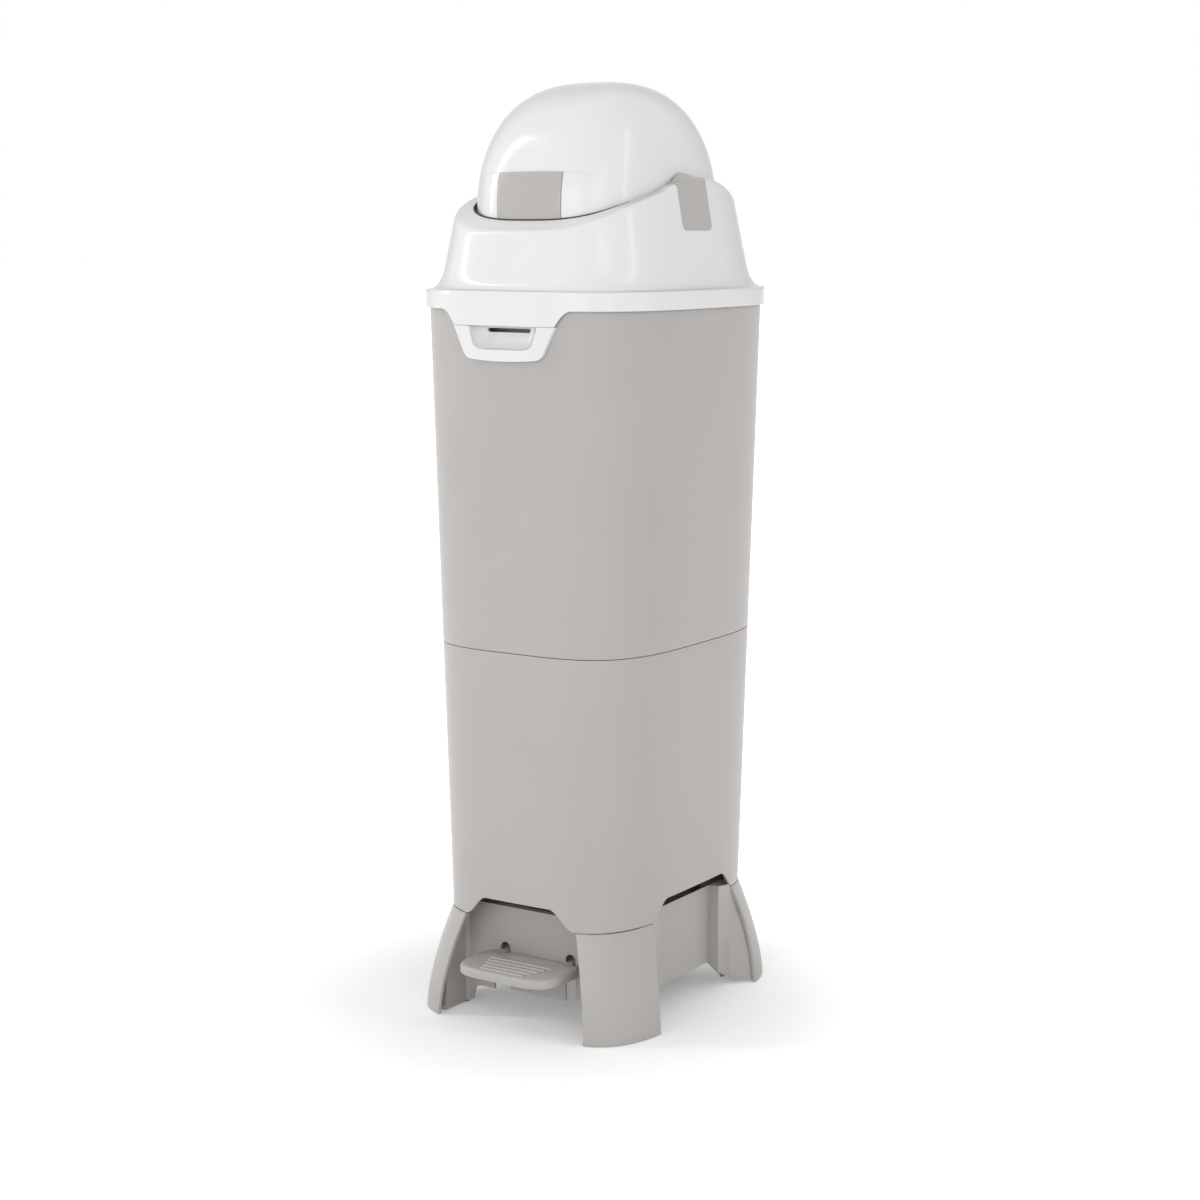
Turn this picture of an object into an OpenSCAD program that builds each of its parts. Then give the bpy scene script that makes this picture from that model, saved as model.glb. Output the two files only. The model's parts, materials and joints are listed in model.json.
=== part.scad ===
// Nappy bin: a tall pedal bin whose domed drum turns inside a head that tips back on a rear hinge.
// Millimetres. The origin is on the floor under the middle of the bin, +Z up, the pedal towards -Y.

/* [Body] */
// Height of the foot legs, where the body starts
leg_h = 107; // [95:1:125]
// Height of the parting line between the two body shells
seam_z = 383; // [300:1:480]
// Height of the head's lower edge
head_z = 718; // [690:1:750]
// How far each side of the body leans in towards its lower edge
taper_w = 18.6; // [12:0.2:22]
// How far its front and back lean in towards its lower edge
taper_d = 15.5; // [12:0.1:20]
// Half width of the body under the head
body_top_w = 134.6; // [131:0.2:138]
// Half depth of the body under the head
body_top_d = 165.5; // [162:0.5:168]
// Wall of the mouldings
wall = 2.5; // [2:0.1:3.2]

/* [Foot] */
// Half width of the foot ring on the floor
foot_w = 141; // [136:1:150]
// Half depth of the foot ring on the floor
foot_d = 185; // [180:1:195]
// How far the recessed tray's sides lie inside the body's lower edge
tray_in_w = 16; // [14:0.5:18]
// How far the recessed tray's front and back lie inside the body's lower edge
tray_in_d = 37; // [35:0.2:40]
// Height of the tray's top above the legs
tray_rise = 6; // [3:1:9]
// Height of the pads under the legs
pad_h = 3; // [2:0.5:5]

/* [Head] */
// Height of the flange band
flange_h = 18; // [14:0.5:24]
// How far the flange stands out past the body
flange_lip = 3.9; // [3.4:0.1:5]
// Height of the hollow curve above the flange
cove_h = 25; // [18:1:32]
// How far the hollow curve draws in
cove_in = 16; // [12:0.5:18]
// Rise of the rim from the front to the pivots
rim_rise = 53; // [46:1:56]
// Height of the front rim above the flange
rim_front_h = 57; // [52:1:62]

/* [Drum] */
// Height of the drum's pivot above the head's lower edge
pivot_h = 97; // [95:1:100]
// Radius of the drum
drum_r = 125; // [121:0.5:127]
// Distance from the drum's end to the side of the flange
drum_in = 44; // [44:0.5:45]
// Distance of the drum's mouth below the pivot
mouth_drop = 80; // [70:1:82]
// Width of the grey panel in the dome
badge_w = 74; // [50:1:90]
// Gap between the drum and the head's rim
drum_gap = 1.6; // [1.2:0.1:2.4]

/* [Pedal] */
// Width of the pedal
pedal_w = 114; // [96:1:120]
// Depth of the pedal from its straight edge to its bow
pedal_l = 68; // [60:1:72]
// Thickness of the pedal
pedal_t = 9.5; // [7:0.5:11]
// Height of the pedal axle
axle_z = 58; // [54:1:62]
// Radius of the pedal axle
axle_r = 3.5; // [3:0.1:4]
// Reach of the arm from the axle to the push rod
arm_reach = 84.4; // [80:0.2:88]

/* [Drive] */
// Teeth on the pinion
pinion_teeth = 15; // [13:1:16]
// Module of the teeth
gear_module = 1; // [0.9:0.02:1.1]
// Radius of the push rod
rod_r = 2.5; // [2:0.1:2.6]
// Turns of the return spring
spring_turns = 7; // [5:1:9]

/* [Fits] */
// Radial clearance of a running fit
run_fit = 0.05; // [0.03:0.01:0.08]
// Gap between pieces that only meet
seat_gap = 0.3; // [0.2:0.05:0.4]
// Gap of a cover in its window
cover_gap = 0.25; // [0.15:0.05:0.3]

/* [Hidden] */

// Colours
shell_grey = [0.74, 0.73, 0.71];
foot_grey = [0.70, 0.69, 0.67];
head_white = [0.96, 0.96, 0.96];
cap_grey = [0.72, 0.71, 0.70];
steel_grey = [0.62, 0.63, 0.65];
soft_dark = [0.18, 0.18, 0.19];
nylon_white = [0.90, 0.89, 0.86];

// Common values
over = 1;
round_fn = 64;
small_fn = 32;
ring_sides = 48;
foot_n = 3.2;
low_n = 3.8;
top_n = 3.5;
drum_n = 3.46;
pivot_z = head_z + pivot_h;
body_low_w = body_top_w - taper_w;
body_low_d = body_top_d - taper_d;
tray_w = body_low_w - tray_in_w;
tray_d = body_low_d - tray_in_d;
flange_w = body_top_w + flange_lip;
drum_w = flange_w - drum_in;
flange_d = body_top_d + flange_lip;
flange_edge = 1.5;
flange_top = head_z + flange_h;
cove_top = flange_top + cove_h;
rim_z = flange_top + rim_front_h;
neck_slope_share = 0.181;
tilt = atan(neck_slope_share);

// Sizes of the body's inner pieces
floor_rise = 23;
floor_z = leg_h + floor_rise;
tray_top = leg_h + tray_rise;
spigot_h = 12;
ledge_w = 4.5;
plate_drop = 10;
plate_z = head_z - plate_drop;
plate_t = 3;
body_top_rise = 1.7;
body_top_z = head_z + body_top_rise;
gasket_t = 2.5;
head_ledge_w = 6.5;
head_ledge_t = 2.5;
arch_rise = 20.5;
post_r = 6;
post_in_x = 30;
post_in_y = 33;
post_x = tray_w - post_in_x;
post_y = tray_d - post_in_y;
screw_r = 2;
screw_head_r = 4;
screw_head_h = 2.4;

// Sizes of the legs
leg_wall = 4;
web_t = 2.5;
web_in_x = 11;
web_in_y = 12;
web_x = tray_w - web_in_x;
web_y = tray_d - web_in_y;
shell_lift = 0.6;
pad_r = 9;
pad_in_x = 35;
pad_in_y = 53;
pad_x = foot_w - pad_in_x;
pad_y = foot_d - pad_in_y;
foot_plate_t = 2.5;
flare_power = 2.5;

// Sizes of the bag ring
ring_in_w = 13.5;
ring_in_d = 39.5;
ring_w = drum_w - ring_in_w;
ring_d = body_top_d - ring_in_d;
ring_wall = 2;
ring_lip = 3.5;
ring_drop = 20;
ring_lip_t = 2.5;
ring_n = 5;

// Sizes of the front catch
tab_drop = 15;
catch_drop = 33.6;
catch_low_w = 36;
catch_bow = 1.6;
tab_low_w = 58.5;
tab_top_w = 76;
catch_r = 11;
scoop_w = 40;
scoop_low_w = 27;
scoop_depth = 19;
scoop_drop = 22.3;
scoop_r = 4;
scoop_wall = 2;
slot_w = 50;
slot_h = 3.4;

// Sizes of the rear hinge
hinge_back = 3.6;
hinge_drop = 4;
hinge_y = flange_d + hinge_back;
hinge_z = head_z - hinge_drop;
barrel_r = 5;
hinge_pin_r = 2.5;
hinge_pin_head_r = 4;
hinge_pin_head_t = 2;
knuckle_half = 20;
knuckle_w = 15;
leaf_t = 2.5;
leaf_h = 26;
leaf_rise = 2;
leaf_lap = 1.5;
hinge_screw_r = 1.6;
hinge_screw_head_r = 3.2;
hinge_screw_head_t = 1.6;

// Sizes of the pivots and their caps
cap_r = 27;
cap_y = 2;
cap_rise = 4;
cap_drop = 22;
cap_corner_r = 6;
cap_proud = 0.8;
cap_t = 3.9;
cap_band_t = 2;
cap_band_clear = 2.5;
cap_band_x = drum_w + cap_band_clear;
hub_r = 4.5;
hub_short = 5.2;
hub_flange_r = 14;
hub_flange_t = 2.5;
bush_r = 7.5;
boss_r = 11;
boss_clear = 0.7;
bracket_t = 3;
bracket_w = 66;
bracket_drop = 30;

// Sizes of the rack and its guide
rack_clear = 1;
rack_w = 5;
rack_x = drum_w + rack_clear;
boss_x = rack_x + rack_w + boss_clear;
rack_back = 13;
rack_teeth_up = 1;
rack_teeth_down = 8;
slider_foot_rise = 3;
slider_foot_z = head_z + slider_foot_rise;
slider_foot_t = 3;
foot_lap = 1.5;
guide_t = 2.4;
guide_drop = 70;
guide_lip_drop = 29.8;
guide_rise = 13;
guide_low_z = pivot_z - guide_drop;
guide_lip_z = pivot_z - guide_lip_drop;
guide_top_z = pivot_z + guide_rise;
guide_gap = 0.3;
backlash = 0.2;
tip_share = 0.88;

// Sizes of the push rod
rod_in = 7;
axle_in = 18.6;
rod_x = tray_w - rod_in;
axle_y = tray_d - axle_in;
rod_y = axle_y - arm_reach;
rod_foot_r = 4.3;
rod_foot_h = 6;
nose_r = 3.5;
bush_wall = 1.9;
bush_lip_r = 5.6;
bush_lip_t = 1.6;
bush_tail = 3;
channel_half = 7;
channel_t = 1.8;
channel_depth = 20;
spring_r = 3.9;
spring_wire_r = 0.5;
spring_ring_count = 8;
spring_sides = 6;

// Sizes of the pedal
tray_boss_r = 6;
tray_boss_l = 6;
axle_over = 0.5;
axle_end = tray_w + tray_boss_l + axle_over;
tube_wall = 3;
pedal_arm_x = 40;
pedal_arm_w = 8;
slot_gap = 2;
slot_rise = 8;
tray_slot_top = axle_z + slot_rise;
tray_wall = 2;
pedal_clear = 4;
arm_short = 33;
pedal_back = tray_d + pedal_clear;
pedal_arm_l = pedal_back + pedal_l - arm_short;
pedal_arm_t = 7;
lever_w = 5;
lever_h = 6.5;
rib_count = 5;
rib_pitch = 8.4;
rib_w = 4;
rib_h = 1.1;
rib_grow = 2.9;
rib_front_gap = 9;
rib_side_gap = 31;
rib_far = pedal_back + pedal_l - rib_front_gap;
rib_half = pedal_w / 2 - rib_side_gap;
pedal_n = 4;
clip_r = 6;
clip_t = 1.2;
hook_wire_r = 1.3;
hook_bend_r = 4;
hook_drop = 24;

// A point of a rounded rectangle whose sides bow as a superellipse
function ring_point(w, d, n, a) = [
    w * sign(cos(a)) * pow(abs(cos(a)), 2 / n),
    d * sign(sin(a)) * pow(abs(sin(a)), 2 / n)];

// One ring of points at height z, drawn in by inset
function ring(w, d, n, z, inset = 0) = [
    for (i = [0 : ring_sides - 1])
    let (p = ring_point(w - inset, d - inset, n, 360 * i / ring_sides))
    [p[0], p[1], z]];

// The outline of the same ring, flat
function outline(w, d, n, inset = 0) = [
    for (i = [0 : ring_sides - 1]) ring_point(w - inset, d - inset, n, 360 * i / ring_sides)];

// Side triangles between rows of points, each row joined to the next
function row_faces(sides, rows, closed) = [
    for (j = [0 : rows - (closed ? 1 : 2)], i = [0 : sides - 1])
    let (a = j * sides + i,
        b = j * sides + (i + 1) % sides,
        c = ((j + 1) % rows) * sides + (i + 1) % sides,
        d = ((j + 1) % rows) * sides + i)
    each [[a, c, b], [a, d, c]]];

// A solid skinned over rings from the lowest to the highest
module loft(rings) {
    sides = len(rings[0]);
    rows = len(rings);
    polyhedron(
        points = [for (r = rings) each r],
        faces = concat(
            [[for (i = [0 : sides - 1]) i]],
            row_faces(sides, rows, false),
            [[for (i = [sides - 1 : -1 : 0]) (rows - 1) * sides + i]]),
        convexity = 8);
}

// A hollow shell: rings run up the outside and down the inside
module shell(rings) {
    polyhedron(points = [for (r = rings) each r],
        faces = row_faces(len(rings[0]), len(rings), true), convexity = 8);
}

// Share of the way up the body
function body_share(z) = (z - leg_h) / (head_z - leg_h);

// A ring of the body at height z
function body_ring(z, inset = 0) = ring(
    body_low_w + (body_top_w - body_low_w) * body_share(z),
    body_low_d + (body_top_d - body_low_d) * body_share(z),
    low_n + (top_n - low_n) * body_share(z), z, inset);

// Half depth and half width of the body at height z
function body_d(z) = body_low_d + (body_top_d - body_low_d) * body_share(z);
function body_w(z) = body_low_w + (body_top_w - body_low_w) * body_share(z);

// A ring of the flared foot at height z
function foot_ring(z, inset = 0) =
    let (s_share = 1 - pow(z / leg_h, flare_power))
    ring(body_low_w + (foot_w - body_low_w) * s_share,
        body_low_d + (foot_d - body_low_d) * s_share,
        low_n + (foot_n - low_n) * s_share, z, inset);

// A ring of the head at height z: flange, hollow curve, then the leaning neck
function neck_inset(z) = cove_in + flange_edge + (z - cove_top) * neck_slope_share;
function head_ring(z, draw, inset = 0) = ring(flange_w, flange_d, top_n, z, draw + inset);
hub_end = flange_w - neck_inset(pivot_z) - hub_short;

// The head's outside, drawn in by inset, from bottom height z_low
head_over = 65;
head_top_z = pivot_z + head_over;
cove_steps = 4;
module head_solid(inset, z_low) {
    loft(concat(
        [head_ring(z_low, 0, inset), head_ring(flange_top - flange_edge - inset, 0, inset)],
        [for (k = [0 : cove_steps])
            let (a = 90 * k / cove_steps)
            head_ring(flange_top - inset + cove_h * (1 - cos(a)), flange_edge + cove_in * sin(a), inset)],
        [head_ring(head_top_z, neck_inset(head_top_z), inset)]));
}

// Side outline of the rim, as shares of the half depth and of the rim's rise
rim_y_share = [-1.0934, -0.862, -0.7456, -0.5915, -0.4321, -0.2895, -0.177, -0.0521, 0.0833, 0.1978, 0.3124,
    0.4165, 0.4998, 0.5831, 0.6873, 0.781, 0.833, 0.8695, 0.8976, 1.0934];
rim_z_share = [-0.10, -0.035, 0.19, 0.425, 0.585, 0.70, 0.83, 0.90, 0.95, 0.965, 0.94, 0.86,
    0.77, 0.68, 0.63, 0.57, 0.47, 0.31, 0.10, -0.12];
module rim_prism(drop) {
    low = head_z - tab_drop - 4 * over;
    points = concat(
        [[flange_d * rim_y_share[0], low]],
        [for (i = [0 : len(rim_y_share) - 1])
            [flange_d * rim_y_share[i], rim_z + rim_rise * rim_z_share[i] - drop]],
        [[flange_d * rim_y_share[len(rim_y_share) - 1], low]]);
    translate([-flange_w - over, 0, 0])
        rotate([90, 0, 90])
        linear_extrude(2 * (flange_w + over))
        polygon(points);
}

// A body of revolution about the pivot, the drum's own outline grown by extra
drum_steps = 18;
module drum_solid(extra) {
    translate([0, 0, pivot_z])
        rotate([0, 90, 0])
        rotate_extrude($fn = round_fn)
        polygon([for (i = [0 : drum_steps])
            let (a = 180 * i / drum_steps)
            [(drum_r + extra) * pow(abs(sin(a)), 2 / drum_n),
             -(drum_w + extra) * sign(cos(a)) * pow(abs(cos(a)), 2 / drum_n)]]);
}

// Arch outline cut through a wall: flat top, curved shoulders, straight down to the floor
shoulder_steps = 6;
module arch_outline(low_half, top_half, rise) {
    polygon(concat(
        [[-low_half, -over], [low_half, -over], [low_half, 0]],
        [for (k = [1 : shoulder_steps])
            let (t_share = k / (shoulder_steps + 1))
            [low_half + (top_half - low_half) * t_share, rise * (1 - cos(180 * t_share)) / 2]],
        [[top_half, rise], [-top_half, rise]],
        [for (k = [shoulder_steps : -1 : 1])
            let (t_share = k / (shoulder_steps + 1))
            [-low_half - (top_half - low_half) * t_share, rise * (1 - cos(180 * t_share)) / 2]],
        [[-low_half, 0]]));
}

leg_top_x = 50;
leg_top_y = 70;
arch_shoulder_x = 28;
arch_shoulder_y = 30;
front_arch_w = body_low_w - leg_top_x;
front_arch_top_w = front_arch_w - arch_shoulder_x;
side_arch_w = body_low_d - leg_top_y;
side_arch_top_w = side_arch_w - arch_shoulder_y;

module body_arches() {
    translate([0, foot_d, leg_h])
        rotate([90, 0, 0])
        linear_extrude(2 * foot_d)
        arch_outline(front_arch_w, front_arch_top_w, arch_rise);
    translate([-foot_w, 0, leg_h])
        rotate([90, 0, 90])
        linear_extrude(2 * foot_w)
        arch_outline(side_arch_w, side_arch_top_w, arch_rise);
}

module lower_body() {
    color(shell_grey)
    difference() {
        loft([body_ring(leg_h), body_ring(seam_z)]);
        loft([body_ring(floor_z + wall, wall), body_ring(seam_z + over, wall)]);
        loft([body_ring(leg_h - over, wall), body_ring(floor_z, wall)]);
        body_arches();
        translate([-rod_x, -rod_y, floor_z - over])
            cylinder(r = rod_r + run_fit + bush_wall, h = wall + 2 * over, $fn = round_fn);
        for (x = [-post_x, post_x], y = [-post_y, post_y])
            translate([x, y, floor_z - over])
            cylinder(r = screw_r, h = wall + 2 * over, $fn = small_fn);
    }
}

module upper_body() {
    color(shell_grey)
    difference() {
        shell([
            body_ring(seam_z), body_ring(body_top_z),
            body_ring(body_top_z, wall), body_ring(plate_z, wall), body_ring(plate_z, wall + ledge_w),
            body_ring(plate_z - wall, wall + ledge_w), body_ring(plate_z - wall - ledge_w, wall),
            body_ring(seam_z, 2 * wall), body_ring(seam_z - spigot_h, 2 * wall),
            body_ring(seam_z - spigot_h, wall + seat_gap), body_ring(seam_z, wall + seat_gap)]);
        catch_window();
    }
}

// Window in the front wall that the catch's scoop passes through
module catch_window() {
    translate([0, -body_d(head_z) + scoop_depth + scoop_wall + ledge_w, head_z - tab_drop - slot_h / 2])
        rotate([90, 0, 0])
        linear_extrude(scoop_depth + scoop_wall + ledge_w + 3 * flange_lip)
        polygon([
            [-scoop_low_w - 2 * scoop_wall, -scoop_drop - scoop_wall],
            [scoop_low_w + 2 * scoop_wall, -scoop_drop - scoop_wall],
            [scoop_w + 2 * scoop_wall, slot_h],
            [-scoop_w - 2 * scoop_wall, slot_h]]);
}

// Front outline shared by the tab and the catch
module tab_outline(grow) {
    polygon(concat(
        [for (k = [0 : shoulder_steps])
            let (t_share = k / shoulder_steps)
            [-(tab_top_w + (tab_low_w - tab_top_w) * sin(90 * t_share)) - grow,
             head_z - tab_drop * (1 - cos(180 * t_share)) / 2]],
        [for (k = [shoulder_steps : -1 : 0])
            let (t_share = k / shoulder_steps)
            [tab_top_w + (tab_low_w - tab_top_w) * sin(90 * t_share) + grow,
             head_z - tab_drop * (1 - cos(180 * t_share)) / 2]]));
}

// Catch outline: leaning sides, round lower corners and a bowed lower edge
bow_steps = 3;
module catch_outline() {
    low = head_z - tab_drop - catch_drop;
    top = head_z - tab_drop - seat_gap;
    side = concat(
        [[tab_low_w, top], [tab_low_w, top - 2 * seat_gap]],
        [for (k = [0 : shoulder_steps])
            let (a = 25 + 65 * k / shoulder_steps)
            [catch_low_w + catch_r * cos(a), low + catch_bow + catch_r * (1 - sin(a))]],
        [for (k = [bow_steps : -1 : 1])
            let (s_share = k / (bow_steps + 1))
            [catch_low_w * s_share, low + catch_bow * s_share * s_share]]);
    polygon(concat(side, [[0, low]], [for (k = [len(side) - 1 : -1 : 0]) [-side[k][0], side[k][1]]]));
}

// Scoop solid: a bowl that narrows downwards and inwards
module scoop_solid(grow, front_over) {
    top = head_z - tab_drop - seat_gap;
    hull() {
        for (s = [-1, 1]) {
            translate([s * (scoop_w - scoop_r), -flange_d - front_over, top - scoop_r])
                sphere(r = scoop_r + grow, $fn = 16);
            translate([s * (scoop_low_w), -flange_d - front_over, top - scoop_drop + scoop_r])
                sphere(r = scoop_r + grow, $fn = 16);
            translate([s * (scoop_low_w), -flange_d + scoop_depth - scoop_r, top - scoop_r])
                sphere(r = scoop_r + grow, $fn = 16);
            translate([s * (scoop_low_w - scoop_r), -flange_d + scoop_depth - 2 * scoop_r,
                    top - scoop_drop + 2 * scoop_r])
                sphere(r = scoop_r + grow, $fn = 16);
        }
    }
}

module front_catch() {
    top = head_z - tab_drop - seat_gap;
    low = top - catch_drop - over;
    color(head_white)
    difference() {
        union() {
            intersection() {
                shell([
                    ring(flange_w, flange_d, top_n, low), ring(flange_w, flange_d, top_n, top + over),
                    body_ring(top + over, -seat_gap), body_ring(low, -seat_gap)]);
                rotate([90, 0, 0])
                    linear_extrude(flange_d + over)
                    catch_outline();
            }
            intersection() {
                scoop_solid(scoop_wall, 0);
                translate([-flange_w, -body_d(top) - seat_gap, low])
                    cube([2 * flange_w, 2 * scoop_depth, top - low]);
            }
        }
        scoop_solid(0, 2 * scoop_r);
        translate([-slot_w / 2, -flange_d, top - slot_h - scoop_wall])
            cube([slot_w, 2 * scoop_depth, slot_h]);
    }
}

// One quarter of the foot: mirrored for the others
module each_corner() {
    for (x = [0, 1], y = [0, 1])
        mirror([x, 0, 0]) mirror([0, y, 0]) children();
}

leg_levels_share = [0, 0.18, 0.36, 0.54, 0.70, 0.86, 1];

// Space inside the legs' outer skin
module leg_inside() {
    loft(concat(
        [[for (p = foot_ring(0, leg_wall)) [p[0], p[1], -over]]],
        [for (s = leg_levels_share) foot_ring(leg_h * s, leg_wall)],
        [[for (p = foot_ring(leg_h, leg_wall)) [p[0], p[1], leg_h + over]]]));
}

// The open front, back and sides between the legs
leg_low_x = 52;
leg_low_y = 89;
leg_gap_out = 1;
leg_gap_in = 5;
leg_curve_power = 2.4;
module leg_gaps() {
    low_front_w = foot_w - leg_low_x;
    low_side_w = foot_d - leg_low_y;
    top_front_w = front_arch_w + leg_gap_out;
    top_side_w = side_arch_w - leg_gap_in;
    steps = 6;
    front = [for (k = [0 : steps])
        let (t_share = k / steps)
        [top_front_w + (low_front_w - top_front_w) * (1 - pow(t_share, leg_curve_power)), leg_h * t_share]];
    side = [for (k = [0 : steps])
        let (t_share = k / steps)
        [top_side_w + (low_side_w - top_side_w) * (1 - pow(t_share, leg_curve_power)), leg_h * t_share]];
    translate([0, foot_d + over, 0])
        rotate([90, 0, 0])
        linear_extrude(2 * (foot_d + over))
        polygon(concat(
            [[front[0][0], -over]], front, [[front[steps][0], leg_h + over]],
            [[-front[steps][0], leg_h + over]],
            [for (k = [steps : -1 : 0]) [-front[k][0], front[k][1]]], [[-front[0][0], -over]]));
    translate([-foot_w - over, 0, 0])
        rotate([90, 0, 90])
        linear_extrude(2 * (foot_w + over))
        polygon(concat(
            [[side[0][0], -over]], side, [[side[steps][0], leg_h + over]],
            [[-side[steps][0], leg_h + over]],
            [for (k = [steps : -1 : 0]) [-side[k][0], side[k][1]]], [[-side[0][0], -over]]));
}

module base_legs() {
    color(foot_grey) {
        difference() {
            loft([for (s = leg_levels_share) foot_ring(max(leg_h * s, shell_lift))]);
            leg_inside();
            leg_gaps();
        }
        intersection() {
            leg_inside();
            each_corner() {
                translate([web_x, tray_d, pad_h])
                    cube([web_t, foot_d, leg_h - pad_h - 2 * shell_lift]);
                translate([tray_w, web_y, pad_h])
                    cube([foot_w, web_t, leg_h - pad_h - 2 * shell_lift]);
                translate([web_x + web_t, tray_d, pad_h])
                    cube([foot_w, foot_d, foot_plate_t]);
                translate([tray_w, web_y + web_t, pad_h])
                    cube([foot_w, tray_d - web_y - web_t, foot_plate_t]);
            }
        }
    }
}

module foot_pads() {
    color(soft_dark)
    each_corner()
        translate([pad_x, pad_y, 0])
        cylinder(r = pad_r, h = pad_h, $fn = round_fn);
}

tray_corner_in = 24;
tray_corner_x = tray_w - tray_corner_in;
tray_low_front = 26;
tray_low_mid = 22.5;
tray_low_side = 29;
tray_low_corner = 4;
tray_step = 6;
tray_plate_t = 3;

// Front wall outline of the tray, with its low corners and the two pedal slots
module tray_front_outline() {
    slot_half = pedal_arm_w / 2 + slot_gap;
    difference() {
        polygon([
            [-tray_w, tray_top], [-tray_w, tray_low_corner],
            [-tray_corner_x - tray_step, tray_low_corner], [-tray_corner_x, tray_low_front],
            [-pedal_arm_x, tray_low_front], [-pedal_arm_x, tray_low_mid],
            [pedal_arm_x, tray_low_mid], [pedal_arm_x, tray_low_front],
            [tray_corner_x, tray_low_front], [tray_corner_x + tray_step, tray_low_corner],
            [tray_w, tray_low_corner], [tray_w, tray_top]]);
        for (s = [-1, 1])
            translate([s * pedal_arm_x, 0]) {
                translate([-slot_half, -over]) square([2 * slot_half, tray_slot_top + over]);
                translate([0, tray_slot_top]) circle(r = slot_half, $fn = small_fn);
            }
    }
}

module tray_side_outline() {
    polygon([
        [-tray_d, tray_top], [-tray_d, tray_low_corner],
        [-tray_corner_x - 2 * tray_step, tray_low_corner], [-tray_corner_x - tray_step, tray_low_side / 2],
        [-tray_corner_x, tray_low_side], [tray_corner_x, tray_low_side],
        [tray_corner_x + tray_step, tray_low_side / 2], [tray_corner_x + 2 * tray_step, tray_low_corner],
        [tray_d, tray_low_corner], [tray_d, tray_top]]);
}

module base_tray() {
    color(foot_grey)
    difference() {
        union() {
            translate([0, -tray_d + tray_wall, 0])
                rotate([90, 0, 0]) linear_extrude(tray_wall) tray_front_outline();
            translate([-tray_w, tray_d - tray_wall, tray_low_front])
                cube([2 * tray_w, tray_wall, tray_top - tray_low_front]);
            for (x = [-tray_w, tray_w - tray_wall])
                translate([x, 0, 0])
                rotate([90, 0, 90]) linear_extrude(tray_wall) tray_side_outline();
            translate([-tray_w, -tray_d, tray_top - tray_plate_t])
                cube([2 * tray_w, 2 * tray_d, tray_plate_t]);
            for (x = [-post_x, post_x], y = [-post_y, post_y])
                translate([x, y, tray_top - tray_plate_t])
                cylinder(r = post_r, h = floor_z - tray_top + tray_plate_t, $fn = round_fn);
            for (x = [-tray_w - tray_boss_l, tray_w - tray_wall])
                translate([x, -axle_y, axle_z])
                rotate([0, 90, 0])
                cylinder(r = tray_boss_r, h = tray_boss_l + tray_wall, $fn = round_fn);
        }
        translate([-tray_w - tray_boss_l - over, -axle_y, axle_z])
            rotate([0, 90, 0])
            cylinder(r = axle_r, h = 2 * (tray_w + tray_boss_l + over), $fn = round_fn);
        translate([-rod_x, -rod_y, tray_top - tray_plate_t - over])
            cylinder(r = rod_r + run_fit + bush_wall, h = tray_plate_t + 2 * over, $fn = round_fn);
        for (x = [-post_x, post_x], y = [-post_y, post_y])
            translate([x, y, tray_top - tray_plate_t - over])
            cylinder(r = screw_r, h = floor_z - tray_top + tray_plate_t + 2 * over, $fn = round_fn);
    }
}

module base_screws() {
    color(steel_grey)
    for (x = [-post_x, post_x], y = [-post_y, post_y])
        translate([x, y, 0]) {
            translate([0, 0, tray_top - tray_plate_t - screw_head_h])
                cylinder(r = screw_head_r, h = screw_head_h, $fn = small_fn);
            translate([0, 0, tray_top - tray_plate_t])
                cylinder(r = screw_r, h = floor_z + wall - tray_top + tray_plate_t, $fn = small_fn);
        }
}

module collar_plate() {
    inset = wall + seat_gap;
    color(nylon_white)
    difference() {
        translate([0, 0, plate_z])
            linear_extrude(plate_t)
            polygon(outline(body_w(plate_z), body_d(plate_z), top_n, inset));
        translate([0, 0, plate_z - over])
            linear_extrude(plate_t + 2 * over)
            polygon(outline(ring_w + ring_wall, ring_d + ring_wall, ring_n, -seat_gap));
        translate([-rod_x, -rod_y, plate_z - over])
            cylinder(r = rod_r + run_fit + bush_wall, h = plate_t + 2 * over, $fn = round_fn);
    }
}

module bag_ring() {
    color(nylon_white)
    difference() {
        union() {
            translate([0, 0, plate_z - ring_drop + plate_t])
                linear_extrude(ring_drop)
                polygon(outline(ring_w + ring_wall, ring_d + ring_wall, ring_n));
            translate([0, 0, plate_z + plate_t])
                linear_extrude(ring_lip_t)
                polygon(outline(ring_w + ring_wall + ring_lip, ring_d + ring_wall + ring_lip, ring_n));
        }
        translate([0, 0, plate_z - ring_drop])
            linear_extrude(ring_drop + plate_t + ring_lip_t + 2 * over)
            polygon(outline(ring_w, ring_d, ring_n));
    }
}

// U section that keeps the bag off the push rod
module rod_channel() {
    web_end = bush_lip_r + seat_gap + channel_t;
    color(nylon_white)
    translate([-rod_x, -rod_y, floor_z + wall])
        linear_extrude(plate_z - floor_z - wall)
        difference() {
            translate([web_end - channel_depth, -channel_half - channel_t])
                square([channel_depth, 2 * (channel_half + channel_t)]);
            translate([web_end - channel_depth - over, -channel_half])
                square([channel_depth + over - channel_t, 2 * channel_half]);
        }
}

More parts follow.
